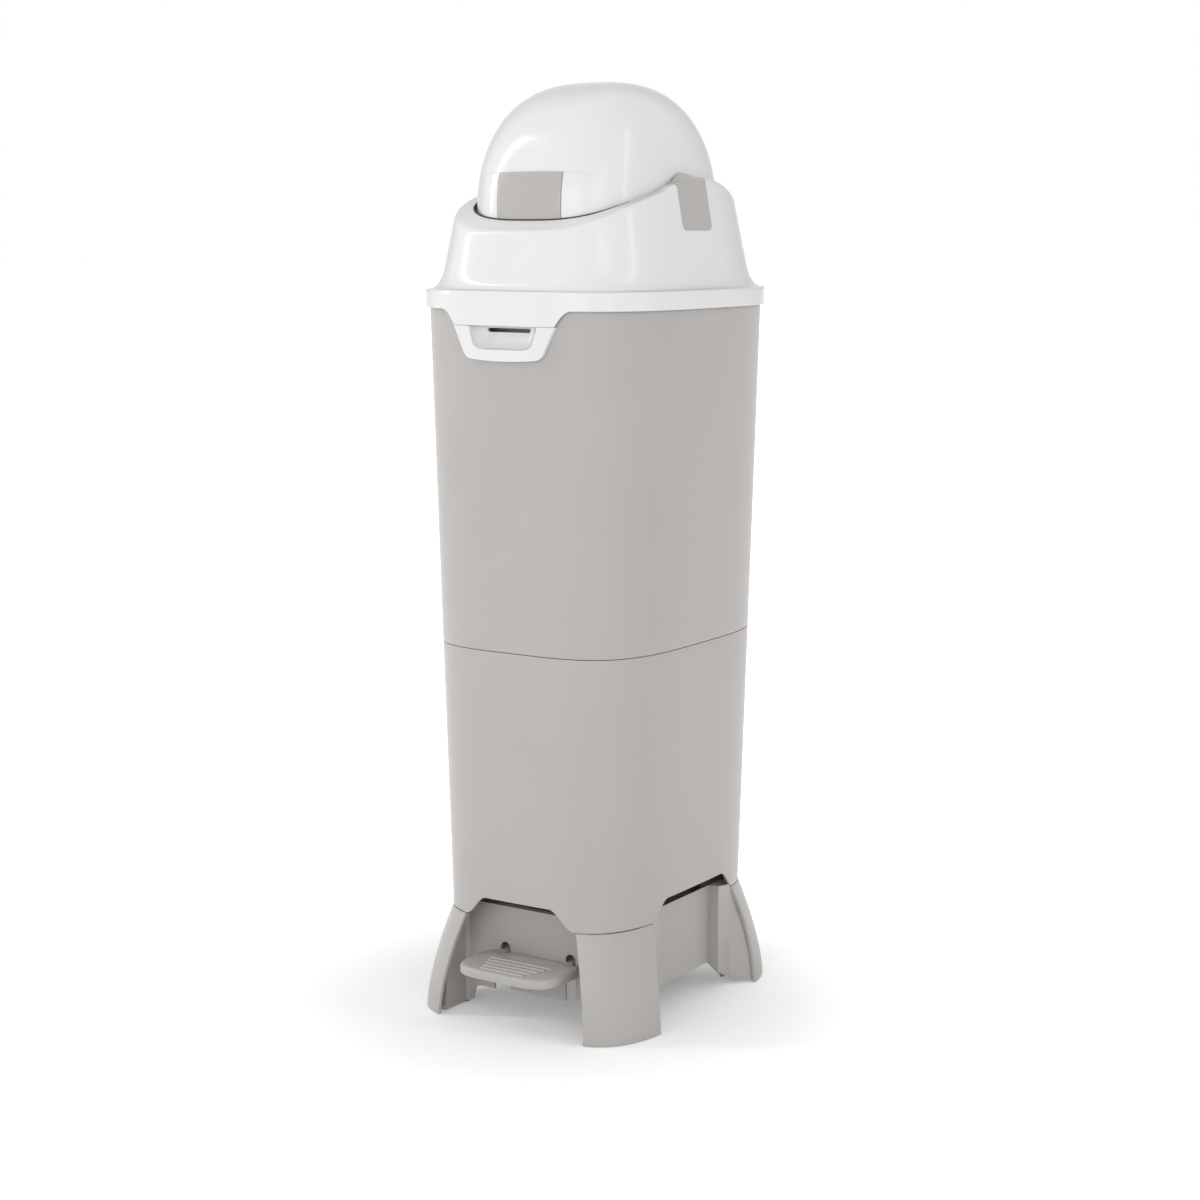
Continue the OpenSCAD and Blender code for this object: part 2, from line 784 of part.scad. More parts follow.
// Three flanged bushes that guide the push rod
module rod_bushes() {
    seats = [[tray_top, tray_plate_t], [floor_z + wall, wall], [plate_z + plate_t, plate_t]];
    color(nylon_white)
    for (s = seats)
        translate([-rod_x, -rod_y, s[0]])
        difference() {
            union() {
                cylinder(r = bush_lip_r, h = bush_lip_t, $fn = round_fn);
                translate([0, 0, -s[1] - (s[0] == tray_top ? 0 : bush_tail)])
                    cylinder(r = rod_r + run_fit + bush_wall,
                        h = s[1] + (s[0] == tray_top ? 0 : bush_tail) + bush_lip_t, $fn = round_fn);
            }
            translate([0, 0, -s[1] - bush_tail - over])
                cylinder(r = rod_r + run_fit, h = s[1] + bush_tail + bush_lip_t + 2 * over, $fn = round_fn);
        }
}

// Rear hinge: the fixed leaf carries the two outer knuckles
module hinge_bracket() {
    color(foot_grey)
    difference() {
        union() {
            for (s = [-1, 1])
                translate([s * (knuckle_half + seat_gap + knuckle_w / 2) - knuckle_w / 2, 0, 0]) {
                    translate([0, hinge_y, hinge_z])
                        rotate([0, 90, 0]) cylinder(r = barrel_r, h = knuckle_w, $fn = round_fn);
                    translate([0, hinge_y - barrel_r, hinge_z - leaf_h])
                        cube([knuckle_w, barrel_r, leaf_h]);
                }
            translate([-knuckle_half - seat_gap - knuckle_w, body_top_d, hinge_z - leaf_h])
                cube([2 * (knuckle_half + seat_gap + knuckle_w), leaf_t, leaf_h - barrel_r]);
        }
        translate([-foot_w, hinge_y, hinge_z])
            rotate([0, 90, 0]) cylinder(r = hinge_pin_r, h = 2 * foot_w, $fn = round_fn);
        for (s = [-1, 1])
            translate([s * knuckle_half / 2, body_top_d - over, hinge_z - leaf_h / 2 - barrel_r / 2])
            rotate([-90, 0, 0]) cylinder(r = hinge_screw_r, h = leaf_t + 2 * over, $fn = small_fn);
    }
}

module hinge_pin() {
    half = knuckle_half + seat_gap + knuckle_w;
    color(steel_grey)
    translate([-half, hinge_y, hinge_z])
        rotate([0, 90, 0]) {
            cylinder(r = hinge_pin_r, h = 2 * half, $fn = round_fn);
            translate([0, 0, -hinge_pin_head_t])
                cylinder(r = hinge_pin_head_r, h = hinge_pin_head_t, $fn = round_fn);
            translate([0, 0, 2 * half])
                cylinder(r = hinge_pin_head_r, h = hinge_pin_head_t, $fn = round_fn);
        }
}

module back_screw(x, y, z, length) {
    translate([x, y, z])
        rotate([-90, 0, 0]) {
            cylinder(r = hinge_screw_head_r, h = hinge_screw_head_t, $fn = small_fn);
            translate([0, 0, -length]) cylinder(r = hinge_screw_r, h = length, $fn = small_fn);
        }
}

module hinge_screws() {
    color(steel_grey)
    for (s = [-1, 1])
        back_screw(s * knuckle_half / 2, body_top_d + leaf_t, hinge_z - leaf_h / 2 - barrel_r / 2, leaf_t);
}

// Moving middle knuckle and the leaf that is screwed to the flange
module head_knuckle() {
    leaf_low = head_z + leaf_rise;
    color(head_white)
    difference() {
        union() {
            translate([-knuckle_half, hinge_y, hinge_z])
                rotate([0, 90, 0]) cylinder(r = barrel_r, h = 2 * knuckle_half, $fn = round_fn);
            translate([-knuckle_half, flange_d + seat_gap / 3, hinge_z])
                cube([2 * knuckle_half, hinge_back + leaf_lap - seat_gap / 3, leaf_low - hinge_z + over]);
            translate([-knuckle_half, flange_d + seat_gap / 3, leaf_low])
                cube([2 * knuckle_half, leaf_t, flange_h - 2 * leaf_rise]);
        }
        translate([-foot_w, hinge_y, hinge_z])
            rotate([0, 90, 0]) cylinder(r = hinge_pin_r + run_fit, h = 2 * foot_w, $fn = round_fn);
        for (s = [-1, 1])
            translate([s * knuckle_half / 2, flange_d - over, flange_top - flange_h / 2 + leaf_rise])
            rotate([-90, 0, 0]) cylinder(r = hinge_screw_r, h = leaf_t + 4 * over, $fn = small_fn);
    }
}

module knuckle_screws() {
    color(steel_grey)
    for (s = [-1, 1])
        back_screw(s * knuckle_half / 2, flange_d + seat_gap / 3 + leaf_t,
            flange_top - flange_h / 2 + leaf_rise, leaf_t);
}

module pedal_axle() {
    color(steel_grey)
    translate([-axle_end, -axle_y, axle_z])
        rotate([0, 90, 0]) cylinder(r = axle_r, h = 2 * axle_end, $fn = round_fn);
}

module axle_clips() {
    color(steel_grey)
    for (x = [-axle_end - clip_t, axle_end])
        translate([x, -axle_y, axle_z])
        rotate([0, 90, 0]) cylinder(r = clip_r, h = clip_t, $fn = round_fn);
}

// Frame of the pivot caps: X out of the leaning side wall, Y along the bin, Z up the wall
module on_side_wall() {
    translate([flange_w - neck_inset(pivot_z), cap_y, pivot_z])
        rotate([0, -tilt, 0])
        children();
}

module cap_outline(grow) {
    half = cap_r + grow;
    translate([0, cap_rise]) circle(r = half, $fn = round_fn);
    translate([-half, -cap_drop + cap_corner_r]) square([2 * half, cap_drop + cap_rise - cap_corner_r]);
    translate([-cap_r + cap_corner_r, -cap_drop - grow])
        square([2 * (cap_r - cap_corner_r), cap_corner_r + 2 * grow]);
    for (s = [-1, 1])
        translate([s * (cap_r - cap_corner_r), -cap_drop + cap_corner_r])
        circle(r = cap_corner_r + grow, $fn = small_fn);
}

module cap_window() {
    on_side_wall()
        translate([-cap_r / 2, 0, 0])
        rotate([90, 0, 90])
        linear_extrude(cap_r)
        cap_outline(cover_gap);
    translate([cap_band_x - seat_gap, cap_y, pivot_z + cap_rise])
        intersection() {
            rotate([0, 90, 0]) cylinder(r = cap_r + cover_gap, h = cap_r, $fn = round_fn);
            translate([0, -2 * cap_r, 0]) cube([cap_r, 4 * cap_r, 2 * cap_r]);
        }
}

// Grey arched cover of one pivot: plate in the side wall's window and a band over the arm
module pivot_cap() {
    color(cap_grey) {
        on_side_wall()
            translate([cap_proud - cap_t, 0, 0])
            rotate([90, 0, 90])
            linear_extrude(cap_t)
            cap_outline(0);
        difference() {
            translate([cap_band_x, cap_y, pivot_z + cap_rise])
                rotate([0, 90, 0]) cylinder(r = cap_r, h = cap_r, $fn = round_fn);
            translate([cap_band_x - over, cap_y, pivot_z + cap_rise])
                rotate([0, 90, 0]) cylinder(r = cap_r - cap_band_t, h = cap_r + 2 * over, $fn = round_fn);
            translate([cap_band_x - over, cap_y - 2 * cap_r, pivot_z + cap_rise - 2 * cap_r])
                cube([2 * cap_r, 4 * cap_r, 2 * cap_r]);
            on_side_wall()
                translate([cap_proud - cap_t / 2, -2 * cap_r, -2 * cap_r])
                cube([2 * cap_r, 4 * cap_r, 4 * cap_r]);
        }
    }
}

module right_pivot_cap() {
    pivot_cap();
}

module left_pivot_cap() {
    mirror([1, 0, 0]) pivot_cap();
}

module head_housing() {
    color(head_white) {
        difference() {
            intersection() {
                head_solid(0, head_z);
                rim_prism(0);
            }
            intersection() {
                head_solid(wall, body_top_z + seat_gap + gasket_t + head_ledge_t);
                rim_prism(wall);
            }
            translate([0, 0, head_z - over])
                linear_extrude(body_top_z + seat_gap + gasket_t - head_z + over)
                polygon(outline(flange_w, flange_d, top_n, wall));
            translate([0, 0, head_z])
                linear_extrude(flange_h)
                polygon(outline(flange_w, flange_d, top_n, wall + head_ledge_w));
            drum_solid(drum_gap);
            cap_window();
            mirror([1, 0, 0]) cap_window();
        }
        intersection() {
            shell([
                ring(flange_w, flange_d, top_n, head_z - tab_drop - over),
                ring(flange_w, flange_d, top_n, head_z),
                ring(flange_w, flange_d, top_n, head_z, wall),
                ring(flange_w, flange_d, top_n, head_z - tab_drop - over, wall)]);
            rotate([90, 0, 0])
                linear_extrude(flange_d + over)
                tab_outline(0);
        }
    }
}

module lid_gasket() {
    color(soft_dark)
    translate([0, 0, body_top_z + seat_gap])
        linear_extrude(gasket_t)
        difference() {
            polygon(outline(flange_w, flange_d, top_n, wall + seat_gap));
            polygon(outline(flange_w, flange_d, top_n, wall + head_ledge_w));
        }
}

// Bracket behind each side wall: a plate with the boss that carries the pivot bush
module pivot_bracket() {
    difference() {
        union() {
            on_side_wall()
                translate([cap_proud - cap_t - cover_gap - bracket_t, 0, 0])
                rotate([90, 0, 90])
                linear_extrude(bracket_t)
                bracket_outline();
            difference() {
                translate([boss_x, 0, pivot_z])
                    rotate([0, 90, 0]) cylinder(r = boss_r, h = boss_r, $fn = round_fn);
                on_side_wall()
                    translate([cap_proud - cap_t - cover_gap - bracket_t / 2, -2 * cap_r, -2 * cap_r])
                    cube([2 * cap_r, 4 * cap_r, 4 * cap_r]);
            }
        }
        translate([boss_x - over, 0, pivot_z])
            rotate([0, 90, 0]) cylinder(r = bush_r, h = 2 * boss_r, $fn = round_fn);
        for (s = [-1, 1])
            on_side_wall()
            translate([-3 * bracket_t, s * (cap_r + 1.5 * screw_r), -cap_drop - screw_r])
            rotate([0, 90, 0]) cylinder(r = hinge_screw_r, h = 3 * bracket_t, $fn = small_fn);
    }
}

module bracket_outline() {
    translate([0, cap_rise]) circle(r = cap_r - cap_band_t - seat_gap, $fn = round_fn);
    translate([-bracket_w / 2, -bracket_drop]) square([bracket_w, bracket_drop]);
}

module pivot_brackets() {
    color(nylon_white) {
        pivot_bracket();
        mirror([1, 0, 0]) pivot_bracket();
    }
}

module bracket_screws() {
    inner = cap_proud - cap_t - cover_gap - bracket_t;
    color(steel_grey)
    for (m = [0, 1], s = [-1, 1])
        mirror([m, 0, 0])
        on_side_wall()
        translate([inner, s * (cap_r + 1.5 * screw_r), -cap_drop - screw_r])
        rotate([0, 90, 0]) {
            translate([0, 0, -hinge_screw_head_t])
                cylinder(r = hinge_screw_head_r, h = hinge_screw_head_t, $fn = small_fn);
            cylinder(r = hinge_screw_r, h = bracket_t, $fn = small_fn);
        }
}

module pivot_bushes() {
    color(nylon_white)
    for (m = [0, 1])
        mirror([m, 0, 0])
        translate([boss_x, 0, pivot_z])
        rotate([0, 90, 0])
        difference() {
            cylinder(r = bush_r, h = hub_end - boss_x, $fn = round_fn);
            translate([0, 0, -over])
                cylinder(r = hub_r + run_fit, h = hub_end - boss_x + 2 * over, $fn = round_fn);
        }
}

seal_t = 2.6;
seal_h = 7;
seal_gap = 0.5;

// Two lips under the rim that brush the drum in front and behind
module dome_seal() {
    color(soft_dark)
    intersection() {
        difference() {
            drum_solid(seal_gap + seal_t);
            drum_solid(seal_gap);
        }
        difference() {
            rim_prism(wall);
            rim_prism(wall + seal_h);
        }
        union() {
            translate([-flange_w, -flange_d, head_z]) cube([2 * flange_w, flange_d - cap_r, 2 * pivot_h]);
            translate([-flange_w, cap_r + 2 * cap_y, head_z])
                cube([2 * flange_w, flange_d - cap_r, 2 * pivot_h]);
        }
    }
}

// Channel on the left bracket that holds the rack
module rack_guide() {
    back_x = rack_x + rack_w + guide_gap;
    color(nylon_white)
    mirror([1, 0, 0])
    difference() {
        union() {
            translate([rack_x, -rack_back - guide_gap - guide_t, guide_low_z])
                cube([cap_r / 2, guide_t, guide_top_z - guide_low_z]);
            translate([back_x, -rack_back - guide_gap - guide_t, guide_low_z])
                cube([cap_r / 2, rack_back + guide_gap + guide_t - boss_r - 2 * guide_gap,
                    guide_top_z - guide_low_z]);
            translate([back_x, -rack_back - guide_gap - guide_t, guide_low_z])
                cube([guide_t, rack_back + guide_gap + guide_t - pitch_r + root_depth + guide_gap + guide_t,
                    guide_lip_z - guide_low_z]);
            translate([rack_x, -pitch_r - root_depth + guide_gap, guide_low_z])
                cube([rack_w + guide_gap + guide_t, guide_t, guide_lip_z - guide_low_z]);
        }
        on_side_wall()
            translate([cap_proud - cap_t - cover_gap - bracket_t - seat_gap, -2 * cap_r, -4 * cap_r])
            cube([2 * cap_r, 4 * cap_r, 8 * cap_r]);
    }
}

// Gear sizes
pitch_r = gear_module * pinion_teeth / 2;
root_depth = 1.25 * gear_module;
tip_height = tip_share * gear_module;
pressure_angle = 20;
base_r = pitch_r * cos(pressure_angle);
flank_steps = 5;

// Polar angle of an involute at radius r, in degrees
function involute_angle(r) =
    let (a = acos(min(1, base_r / r))) tan(a) * 180 / PI - a;

module pinion_outline() {
    tooth = 360 / pinion_teeth;
    tip_r = pitch_r + tip_height;
    root_r = pitch_r - root_depth;
    half = tooth / 4 - (backlash / 2) / pitch_r * 180 / PI + involute_angle(pitch_r);
    radii = [for (k = [0 : flank_steps]) base_r + (tip_r - base_r) * k / flank_steps];
    polygon([for (t = [0 : pinion_teeth - 1])
        let (c = t * tooth)
        each concat(
            [[root_r * cos(c - half), root_r * sin(c - half)]],
            [for (r = radii)
                let (a = c - half + involute_angle(r)) [r * cos(a), r * sin(a)]],
            [for (k = [flank_steps : -1 : 0])
                let (a = c + half - involute_angle(radii[k])) [radii[k] * cos(a), radii[k] * sin(a)]],
            [[root_r * cos(c + half), root_r * sin(c + half)]])]);
}

module drive_pinion() {
    color(nylon_white)
    translate([-rack_x - rack_w, 0, pivot_z])
        rotate([90, 0, 90])
        difference() {
            linear_extrude(rack_w)
                rotate(180)
                pinion_outline();
            translate([0, 0, -over]) cylinder(r = hub_r, h = rack_w + 2 * over, $fn = round_fn);
        }
}

// Rack outline in the Y-Z plane: teeth towards the pinion, a plain slider below
module rack_outline() {
    pitch = PI * gear_module;
    lean = tan(pressure_angle);
    thick = pitch / 4 - backlash / 2;
    teeth = [for (k = [-rack_teeth_down : rack_teeth_up - 1])
        let (c = pivot_z + (k + 0.5) * pitch)
        each [
            [-pitch_r - root_depth, c - thick - root_depth * lean],
            [-pitch_r + tip_height, c - thick + tip_height * lean],
            [-pitch_r + tip_height, c + thick - tip_height * lean],
            [-pitch_r - root_depth, c + thick + root_depth * lean]]];
    top = pivot_z + (rack_teeth_up + 0.2) * pitch;
    polygon(concat(
        [[-rack_back, slider_foot_z], [-pitch_r - root_depth, slider_foot_z]],
        teeth,
        [[-pitch_r - root_depth, top], [-rack_back, top]]));
}

module drive_rack() {
    foot_inner = rod_x - foot_lap;
    color(nylon_white) {
        translate([-rack_x - rack_w, 0, 0])
            rotate([90, 0, 90])
            linear_extrude(rack_w)
            rack_outline();
        translate([-rack_x - rack_w, -rack_back, slider_foot_z])
            cube([rack_x + rack_w - foot_inner, rack_back - rod_y + rod_r, slider_foot_t]);
    }
}

// Drum: bowl of revolution open below, with a stiffened mouth and the raised front band
band_up_deg = 16;
band_low_deg = 4.5;
band_proud = 1.8;
band_half = 70;
band_rim_gap = 1;
badge_gap = 0.1;
window_over_deg = 1;
mouth_rim_t = 3;
mouth_rim_w = 6;

// Wedge about the pivot axis in front of the drum, from one height angle to another
module front_wedge(low_deg, up_deg, half) {
    reach = 2 * drum_r;
    translate([-half, 0, pivot_z])
        rotate([90, 0, 90])
        linear_extrude(2 * half)
        polygon([[0, 0], [-reach * cos(low_deg), -reach * sin(low_deg)],
            [-reach * cos(up_deg), reach * sin(up_deg)]]);
}

module dome_shell() {
    mouth_z = pivot_z - mouth_drop;
    color(head_white)
    difference() {
        union() {
            difference() {
                drum_solid(0);
                drum_solid(-wall);
            }
            intersection() {
                difference() {
                    drum_solid(-wall / 2);
                    drum_solid(-wall - mouth_rim_w);
                }
                translate([-drum_w, -drum_r, mouth_z]) cube([2 * drum_w, 2 * drum_r, mouth_rim_t]);
            }
            difference() {
                intersection() {
                    drum_solid(band_proud);
                    front_wedge(band_low_deg, band_up_deg, band_half);
                }
                drum_solid(-wall / 2);
                rim_prism(-band_rim_gap);
                difference() {
                    front_wedge(band_low_deg + window_over_deg, band_up_deg + window_over_deg,
                        badge_w / 2 + cover_gap / 2);
                    drum_solid(0);
                }
            }
        }
        translate([-flange_w, -flange_d, mouth_z - 2 * drum_r])
            cube([2 * flange_w, 2 * flange_d, 2 * drum_r]);
        translate([-flange_w, 0, pivot_z])
            rotate([0, 90, 0]) cylinder(r = hub_r, h = 2 * flange_w, $fn = round_fn);
    }
}

// Grey panel in the front of the dome, left bare
module dome_badge() {
    color(cap_grey)
    intersection() {
        difference() {
            drum_solid(band_proud);
            drum_solid(badge_gap);
        }
        front_wedge(band_low_deg, band_up_deg, badge_w / 2);
    }
}

module drum_hubs() {
    inner = drum_w - wall - seat_gap;
    color(nylon_white)
    for (m = [0, 1])
        mirror([m, 0, 0])
        translate([inner - hub_flange_t, 0, pivot_z])
        rotate([0, 90, 0]) {
            cylinder(r = hub_flange_r, h = hub_flange_t, $fn = round_fn);
            cylinder(r = hub_r, h = hub_end - inner + hub_flange_t, $fn = round_fn);
        }
}

rod_foot_z = axle_z + nose_r + seat_gap;
rod_top_z = slider_foot_z - seat_gap;

module push_rod() {
    color(steel_grey)
    translate([-rod_x, -rod_y, rod_foot_z]) {
        cylinder(r = rod_foot_r, h = rod_foot_h, $fn = round_fn);
        cylinder(r = rod_r, h = rod_top_z - rod_foot_z, $fn = round_fn);
    }
}

// Return spring round the push rod: one wire, wound from a formula, flat at both ends
spring_low = rod_foot_z + rod_foot_h + spring_wire_r + run_fit;
spring_high = tray_top - tray_plate_t - spring_wire_r - run_fit;
spring_steps = spring_turns * spring_ring_count;
function spring_rise_share(u) = u < 1 / spring_turns ? 0.2 * u :
    u > 1 - 1 / spring_turns ? 1 - 0.2 * (1 - u) :
    0.2 / spring_turns + (u - 1 / spring_turns) * (1 - 0.4 / spring_turns) / (1 - 2 / spring_turns);
function spring_point(k) =
    let (u = k / spring_steps, a = 360 * spring_turns * u)
    [spring_r * cos(a), spring_r * sin(a), spring_low + (spring_high - spring_low) * spring_rise_share(u)];
spring_path = [for (k = [0 : spring_steps]) spring_point(k)];
spring_turn_gap = min([for (i = [0 : spring_steps - spring_ring_count])
    norm(spring_path[i + spring_ring_count] - spring_path[i]) - 2 * spring_wire_r]);

module return_spring() {
    echo(spring_least_gap = spring_turn_gap);
    rings = [for (k = [0 : spring_steps])
        let (a = 360 * k / spring_ring_count, p = spring_path[k])
        [for (j = [0 : spring_sides - 1])
            let (b = 360 * j / spring_sides)
            [p[0] + spring_wire_r * cos(b) * cos(a), p[1] + spring_wire_r * cos(b) * sin(a),
             p[2] + spring_wire_r * sin(b)]]];
    color(steel_grey)
    translate([-rod_x, -rod_y, 0])
        mirror([0, 1, 0])
        loft(rings);
}

// Pedal outline: straight back edge with cut corners, bowed front
pedal_steps = 14;
pedal_side_l = 13;
function pedal_point(a, inset) = [
    (pedal_w / 2 - inset) * sign(cos(a)) * pow(abs(cos(a)), 2 / pedal_n),
    -pedal_back - pedal_side_l - (pedal_l - pedal_side_l - inset) * pow(abs(sin(a)), 2 / pedal_n)];
module pedal_outline(inset) {
    polygon(concat(
        [for (k = [0 : pedal_steps]) pedal_point(180 - 180 * k / pedal_steps, inset)],
        [[pedal_w / 2 - pedal_side_l / 2 - inset, -pedal_back - inset],
         [-pedal_w / 2 + pedal_side_l / 2 + inset, -pedal_back - inset]]));
}

pedal_top = axle_z + tube_wall + axle_r - seat_gap;
module pedal_plate() {
    bevel = pedal_t / 6;
    color(foot_grey) {
        translate([0, 0, pedal_top - pedal_t])
            linear_extrude(pedal_t - bevel)
            pedal_outline(0);
        translate([0, 0, pedal_top - pedal_t])
            linear_extrude(pedal_t)
            pedal_outline(bevel);
        for (k = [0 : rib_count - 1])
            translate([-rib_half - k * rib_grow, -rib_far + k * rib_pitch - rib_w / 2, pedal_top - 2 * bevel])
            cube([2 * (rib_half + k * rib_grow), rib_w, 2 * bevel + rib_h]);
    }
}

// Tube on the axle with the two pedal arms and the lever that lifts the rod
module pedal_frame() {
    tube_r = axle_r + tube_wall;
    tube_end = tray_w - tray_wall - seat_gap;
    under = pedal_top - pedal_t;
    color(foot_grey)
    difference() {
        union() {
            translate([-tube_end, -axle_y, axle_z])
                rotate([0, 90, 0]) cylinder(r = tube_r, h = 2 * tube_end, $fn = round_fn);
            for (s = [-1, 1])
                translate([s * pedal_arm_x - pedal_arm_w / 2, 0, 0]) {
                    translate([0, -pedal_back + seat_gap / 3, axle_z - tube_r])
                        cube([pedal_arm_w, pedal_back - axle_y, tube_r + pedal_top - axle_z]);
                    translate([0, -pedal_arm_l, under - pedal_arm_t])
                        cube([pedal_arm_w, pedal_arm_l - axle_y, pedal_arm_t]);
                }
            translate([-rod_x - lever_w / 2, -axle_y, axle_z - nose_r])
                cube([lever_w, arm_reach, lever_h]);
            translate([-rod_x - lever_w / 2, -axle_y + arm_reach, axle_z])
                rotate([0, 90, 0]) cylinder(r = nose_r, h = lever_w, $fn = round_fn);
        }
        translate([-foot_w, -axle_y, axle_z])
            rotate([0, 90, 0]) cylinder(r = axle_r + run_fit, h = 2 * foot_w, $fn = round_fn);
    }
}

// Steel hook that hangs from the left pedal arm
module pedal_hook() {
    top = pedal_top - pedal_t - pedal_arm_t;
    color(steel_grey)
    translate([-pedal_arm_x, -axle_y - 2 * hook_bend_r, top - hook_drop]) {
        cylinder(r = hook_wire_r, h = hook_drop, $fn = small_fn);
        translate([0, hook_bend_r, 0])
            rotate([90, 0, 90])
            difference() {
                rotate_extrude($fn = small_fn)
                    translate([hook_bend_r, 0]) circle(r = hook_wire_r, $fn = small_fn);
                translate([-2 * hook_bend_r, 0, -2 * hook_wire_r])
                    cube([4 * hook_bend_r, 2 * hook_bend_r, 4 * hook_wire_r]);
            }
    }
}

lower_body();
upper_body();
base_legs();
base_tray();
foot_pads();
base_screws();
collar_plate();
bag_ring();
front_catch();
rod_channel();
rod_bushes();
hinge_bracket();
hinge_pin();
hinge_screws();
pedal_axle();
axle_clips();
head_housing();
lid_gasket();
head_knuckle();
knuckle_screws();
left_pivot_cap();
right_pivot_cap();
pivot_brackets();
bracket_screws();
pivot_bushes();
dome_seal();
rack_guide();
dome_shell();
dome_badge();
drum_hubs();
drive_pinion();
drive_rack();
push_rod();
return_spring();
pedal_plate();
pedal_frame();
pedal_hook();
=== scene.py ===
import json
import math

import bmesh
import bpy
import numpy as np
from mathutils import Matrix


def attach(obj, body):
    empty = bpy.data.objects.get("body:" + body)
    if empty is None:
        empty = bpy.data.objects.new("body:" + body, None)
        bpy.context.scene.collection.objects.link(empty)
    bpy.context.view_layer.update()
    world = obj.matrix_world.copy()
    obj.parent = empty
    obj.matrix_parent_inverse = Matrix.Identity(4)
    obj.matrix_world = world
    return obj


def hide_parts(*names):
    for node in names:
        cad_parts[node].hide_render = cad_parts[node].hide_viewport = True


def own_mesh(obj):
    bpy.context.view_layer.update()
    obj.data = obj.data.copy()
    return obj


# Looks of the nappy bin. Sizes are in millimetres in the frame's own axes: the origin is on the floor under
# the middle of the bin, +Z up, the pedal towards -Y. They turn to metres when a mesh is made.

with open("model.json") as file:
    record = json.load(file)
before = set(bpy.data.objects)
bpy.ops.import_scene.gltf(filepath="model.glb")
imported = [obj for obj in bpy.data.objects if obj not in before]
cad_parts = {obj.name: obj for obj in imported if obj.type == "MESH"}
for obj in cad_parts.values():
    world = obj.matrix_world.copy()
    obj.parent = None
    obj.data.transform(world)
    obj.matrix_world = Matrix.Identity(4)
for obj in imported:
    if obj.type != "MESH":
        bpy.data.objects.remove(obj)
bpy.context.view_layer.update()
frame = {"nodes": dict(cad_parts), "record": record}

MM = 0.001
RING_COLUMNS = 720

# Body: the top of the legs, the seam between the shells, the upper edge, the wall, half of a parting line.
LEG_TOP = 107
SEAM = 383
BODY_TOP = 719.6
WALL = 2.5
PARTING = 0.3

# Superellipses, each a half width, a half depth and an exponent: the body at the legs' top and under the
# head, the feet on the floor, and the head's flange.
LOW = (116, 150, 3.8)
TOP = (134.6, 165.5, 3.5)
FOOT = (137.2, 171, 4.3)
FLANGE = (138.5, 169.4, 3.5)

# Feet: the power by which they widen, their skin and the wall of the tray between them.
FLARE = 1.52
FOOT_SKIN = 4
TRAY_WALL = 113

# Head: its lower edge and the tab's, the flange's top and its rounding, the hollow curve above the flange
# (its top and how far in that lies), and the neck's lean in mm inwards for a mm of height.
HEAD_LOW = 718
TAB_LOW = 703
FLANGE_TOP = 736
FLANGE_ROUND = 1.5
COVE_TOP = 761
COVE_IN = 17.5
NECK_LEAN = 0.181

# Drum: the height of its axis, its radius, its mouth's height and the gap round it. Along the axis its two
# superellipses have a half length and an exponent, one for the ends and one for the bowed top, and
# DRUM_BLEND is the power of the smooth maximum that joins them.
PIVOT = 815
DRUM_R = 125
MOUTH = 735
DRUM_GAP = 2.9
DRUM_END = (94.5, 3.46)
DRUM_BOW = (107, 2.8)
DRUM_BLEND = 60


# Surfaces

def lame(w, d, n, shares, fine=2001):
    """Points of |x/w|^n + |y/d|^n = 1, at shares of its length, anticlockwise from (w, 0)."""
    a = np.linspace(0, np.pi / 2, fine)
    x, y = w * np.cos(a) ** (2 / n), d * np.sin(a) ** (2 / n)
    run = run_of(np.stack([x, y], -1))
    quarter = np.floor(shares * 4).astype(int) % 4
    part = shares * 4 - np.floor(shares * 4)
    part = np.where(quarter % 2 == 0, part, 1 - part) * run[-1]
    x, y = np.interp(part, run, x), np.interp(part, run, y)
    return np.stack([np.where((quarter == 1) | (quarter == 2), -x, x), np.where(quarter > 1, -y, y)], -1)


def smoothed(v):
    """0 to 1 along half a cosine."""
    return (1 - np.cos(np.pi * np.clip(v, 0, 1))) / 2


def bezier(a, b, c, steps):
    """Rows on the quadratic curve from a to c with control b, its ends included; the points may be arrays."""
    t = np.linspace(0, 1, steps)
    return [(1 - s) ** 2 * a + 2 * s * (1 - s) * b + s * s * c for s in t]


def run_of(path):
    """Length along a path up to each of its points."""
    return np.concatenate([[0], np.cumsum(np.linalg.norm(np.diff(path, axis=0), axis=1))])


def level(xy, z):
    """Flat points raised to a height, which is one number or one for each point."""
    z = np.broadcast_to(np.asarray(z, float), (len(xy),))
    return np.concatenate([xy, z[:, None]], -1)


def halved(inside, near, far, rounds=46):
    """Where a test turns from true to false between two arrays of values, found by halving."""
    for _ in range(rounds):
        mid = (near + far) / 2
        good = inside(mid)
        near, far = np.where(good, mid, near), np.where(good, far, mid)
    return near


def quads(rows, columns, around=False):
    """Faces between neighbouring rows and columns; around joins the last column to the first."""
    r = np.arange(rows - 1)[:, None] * columns
    c = np.arange(columns if around else columns - 1)[None, :]
    nxt = (c + 1) % columns
    return np.stack([r + c, r + nxt, r + columns + nxt, r + columns + c], -1).reshape(-1, 4)


def sheet_of(grid, around=False, flip=False):
    """A grid of points, rows by columns by 3, as points and faces."""
    grid = np.asarray(grid, float)
    rows, columns = grid.shape[:2]
    faces = quads(rows, columns, around)
    return grid.reshape(-1, 3), faces[:, ::-1] if flip else faces


def joined(*parts):
    """Several lots of points and faces as one."""
    points, faces, start = [], [], 0
    for p, f in parts:
        points.append(p)
        faces.append(f + start)
        start += len(p)
    return np.concatenate(points), np.concatenate(faces)


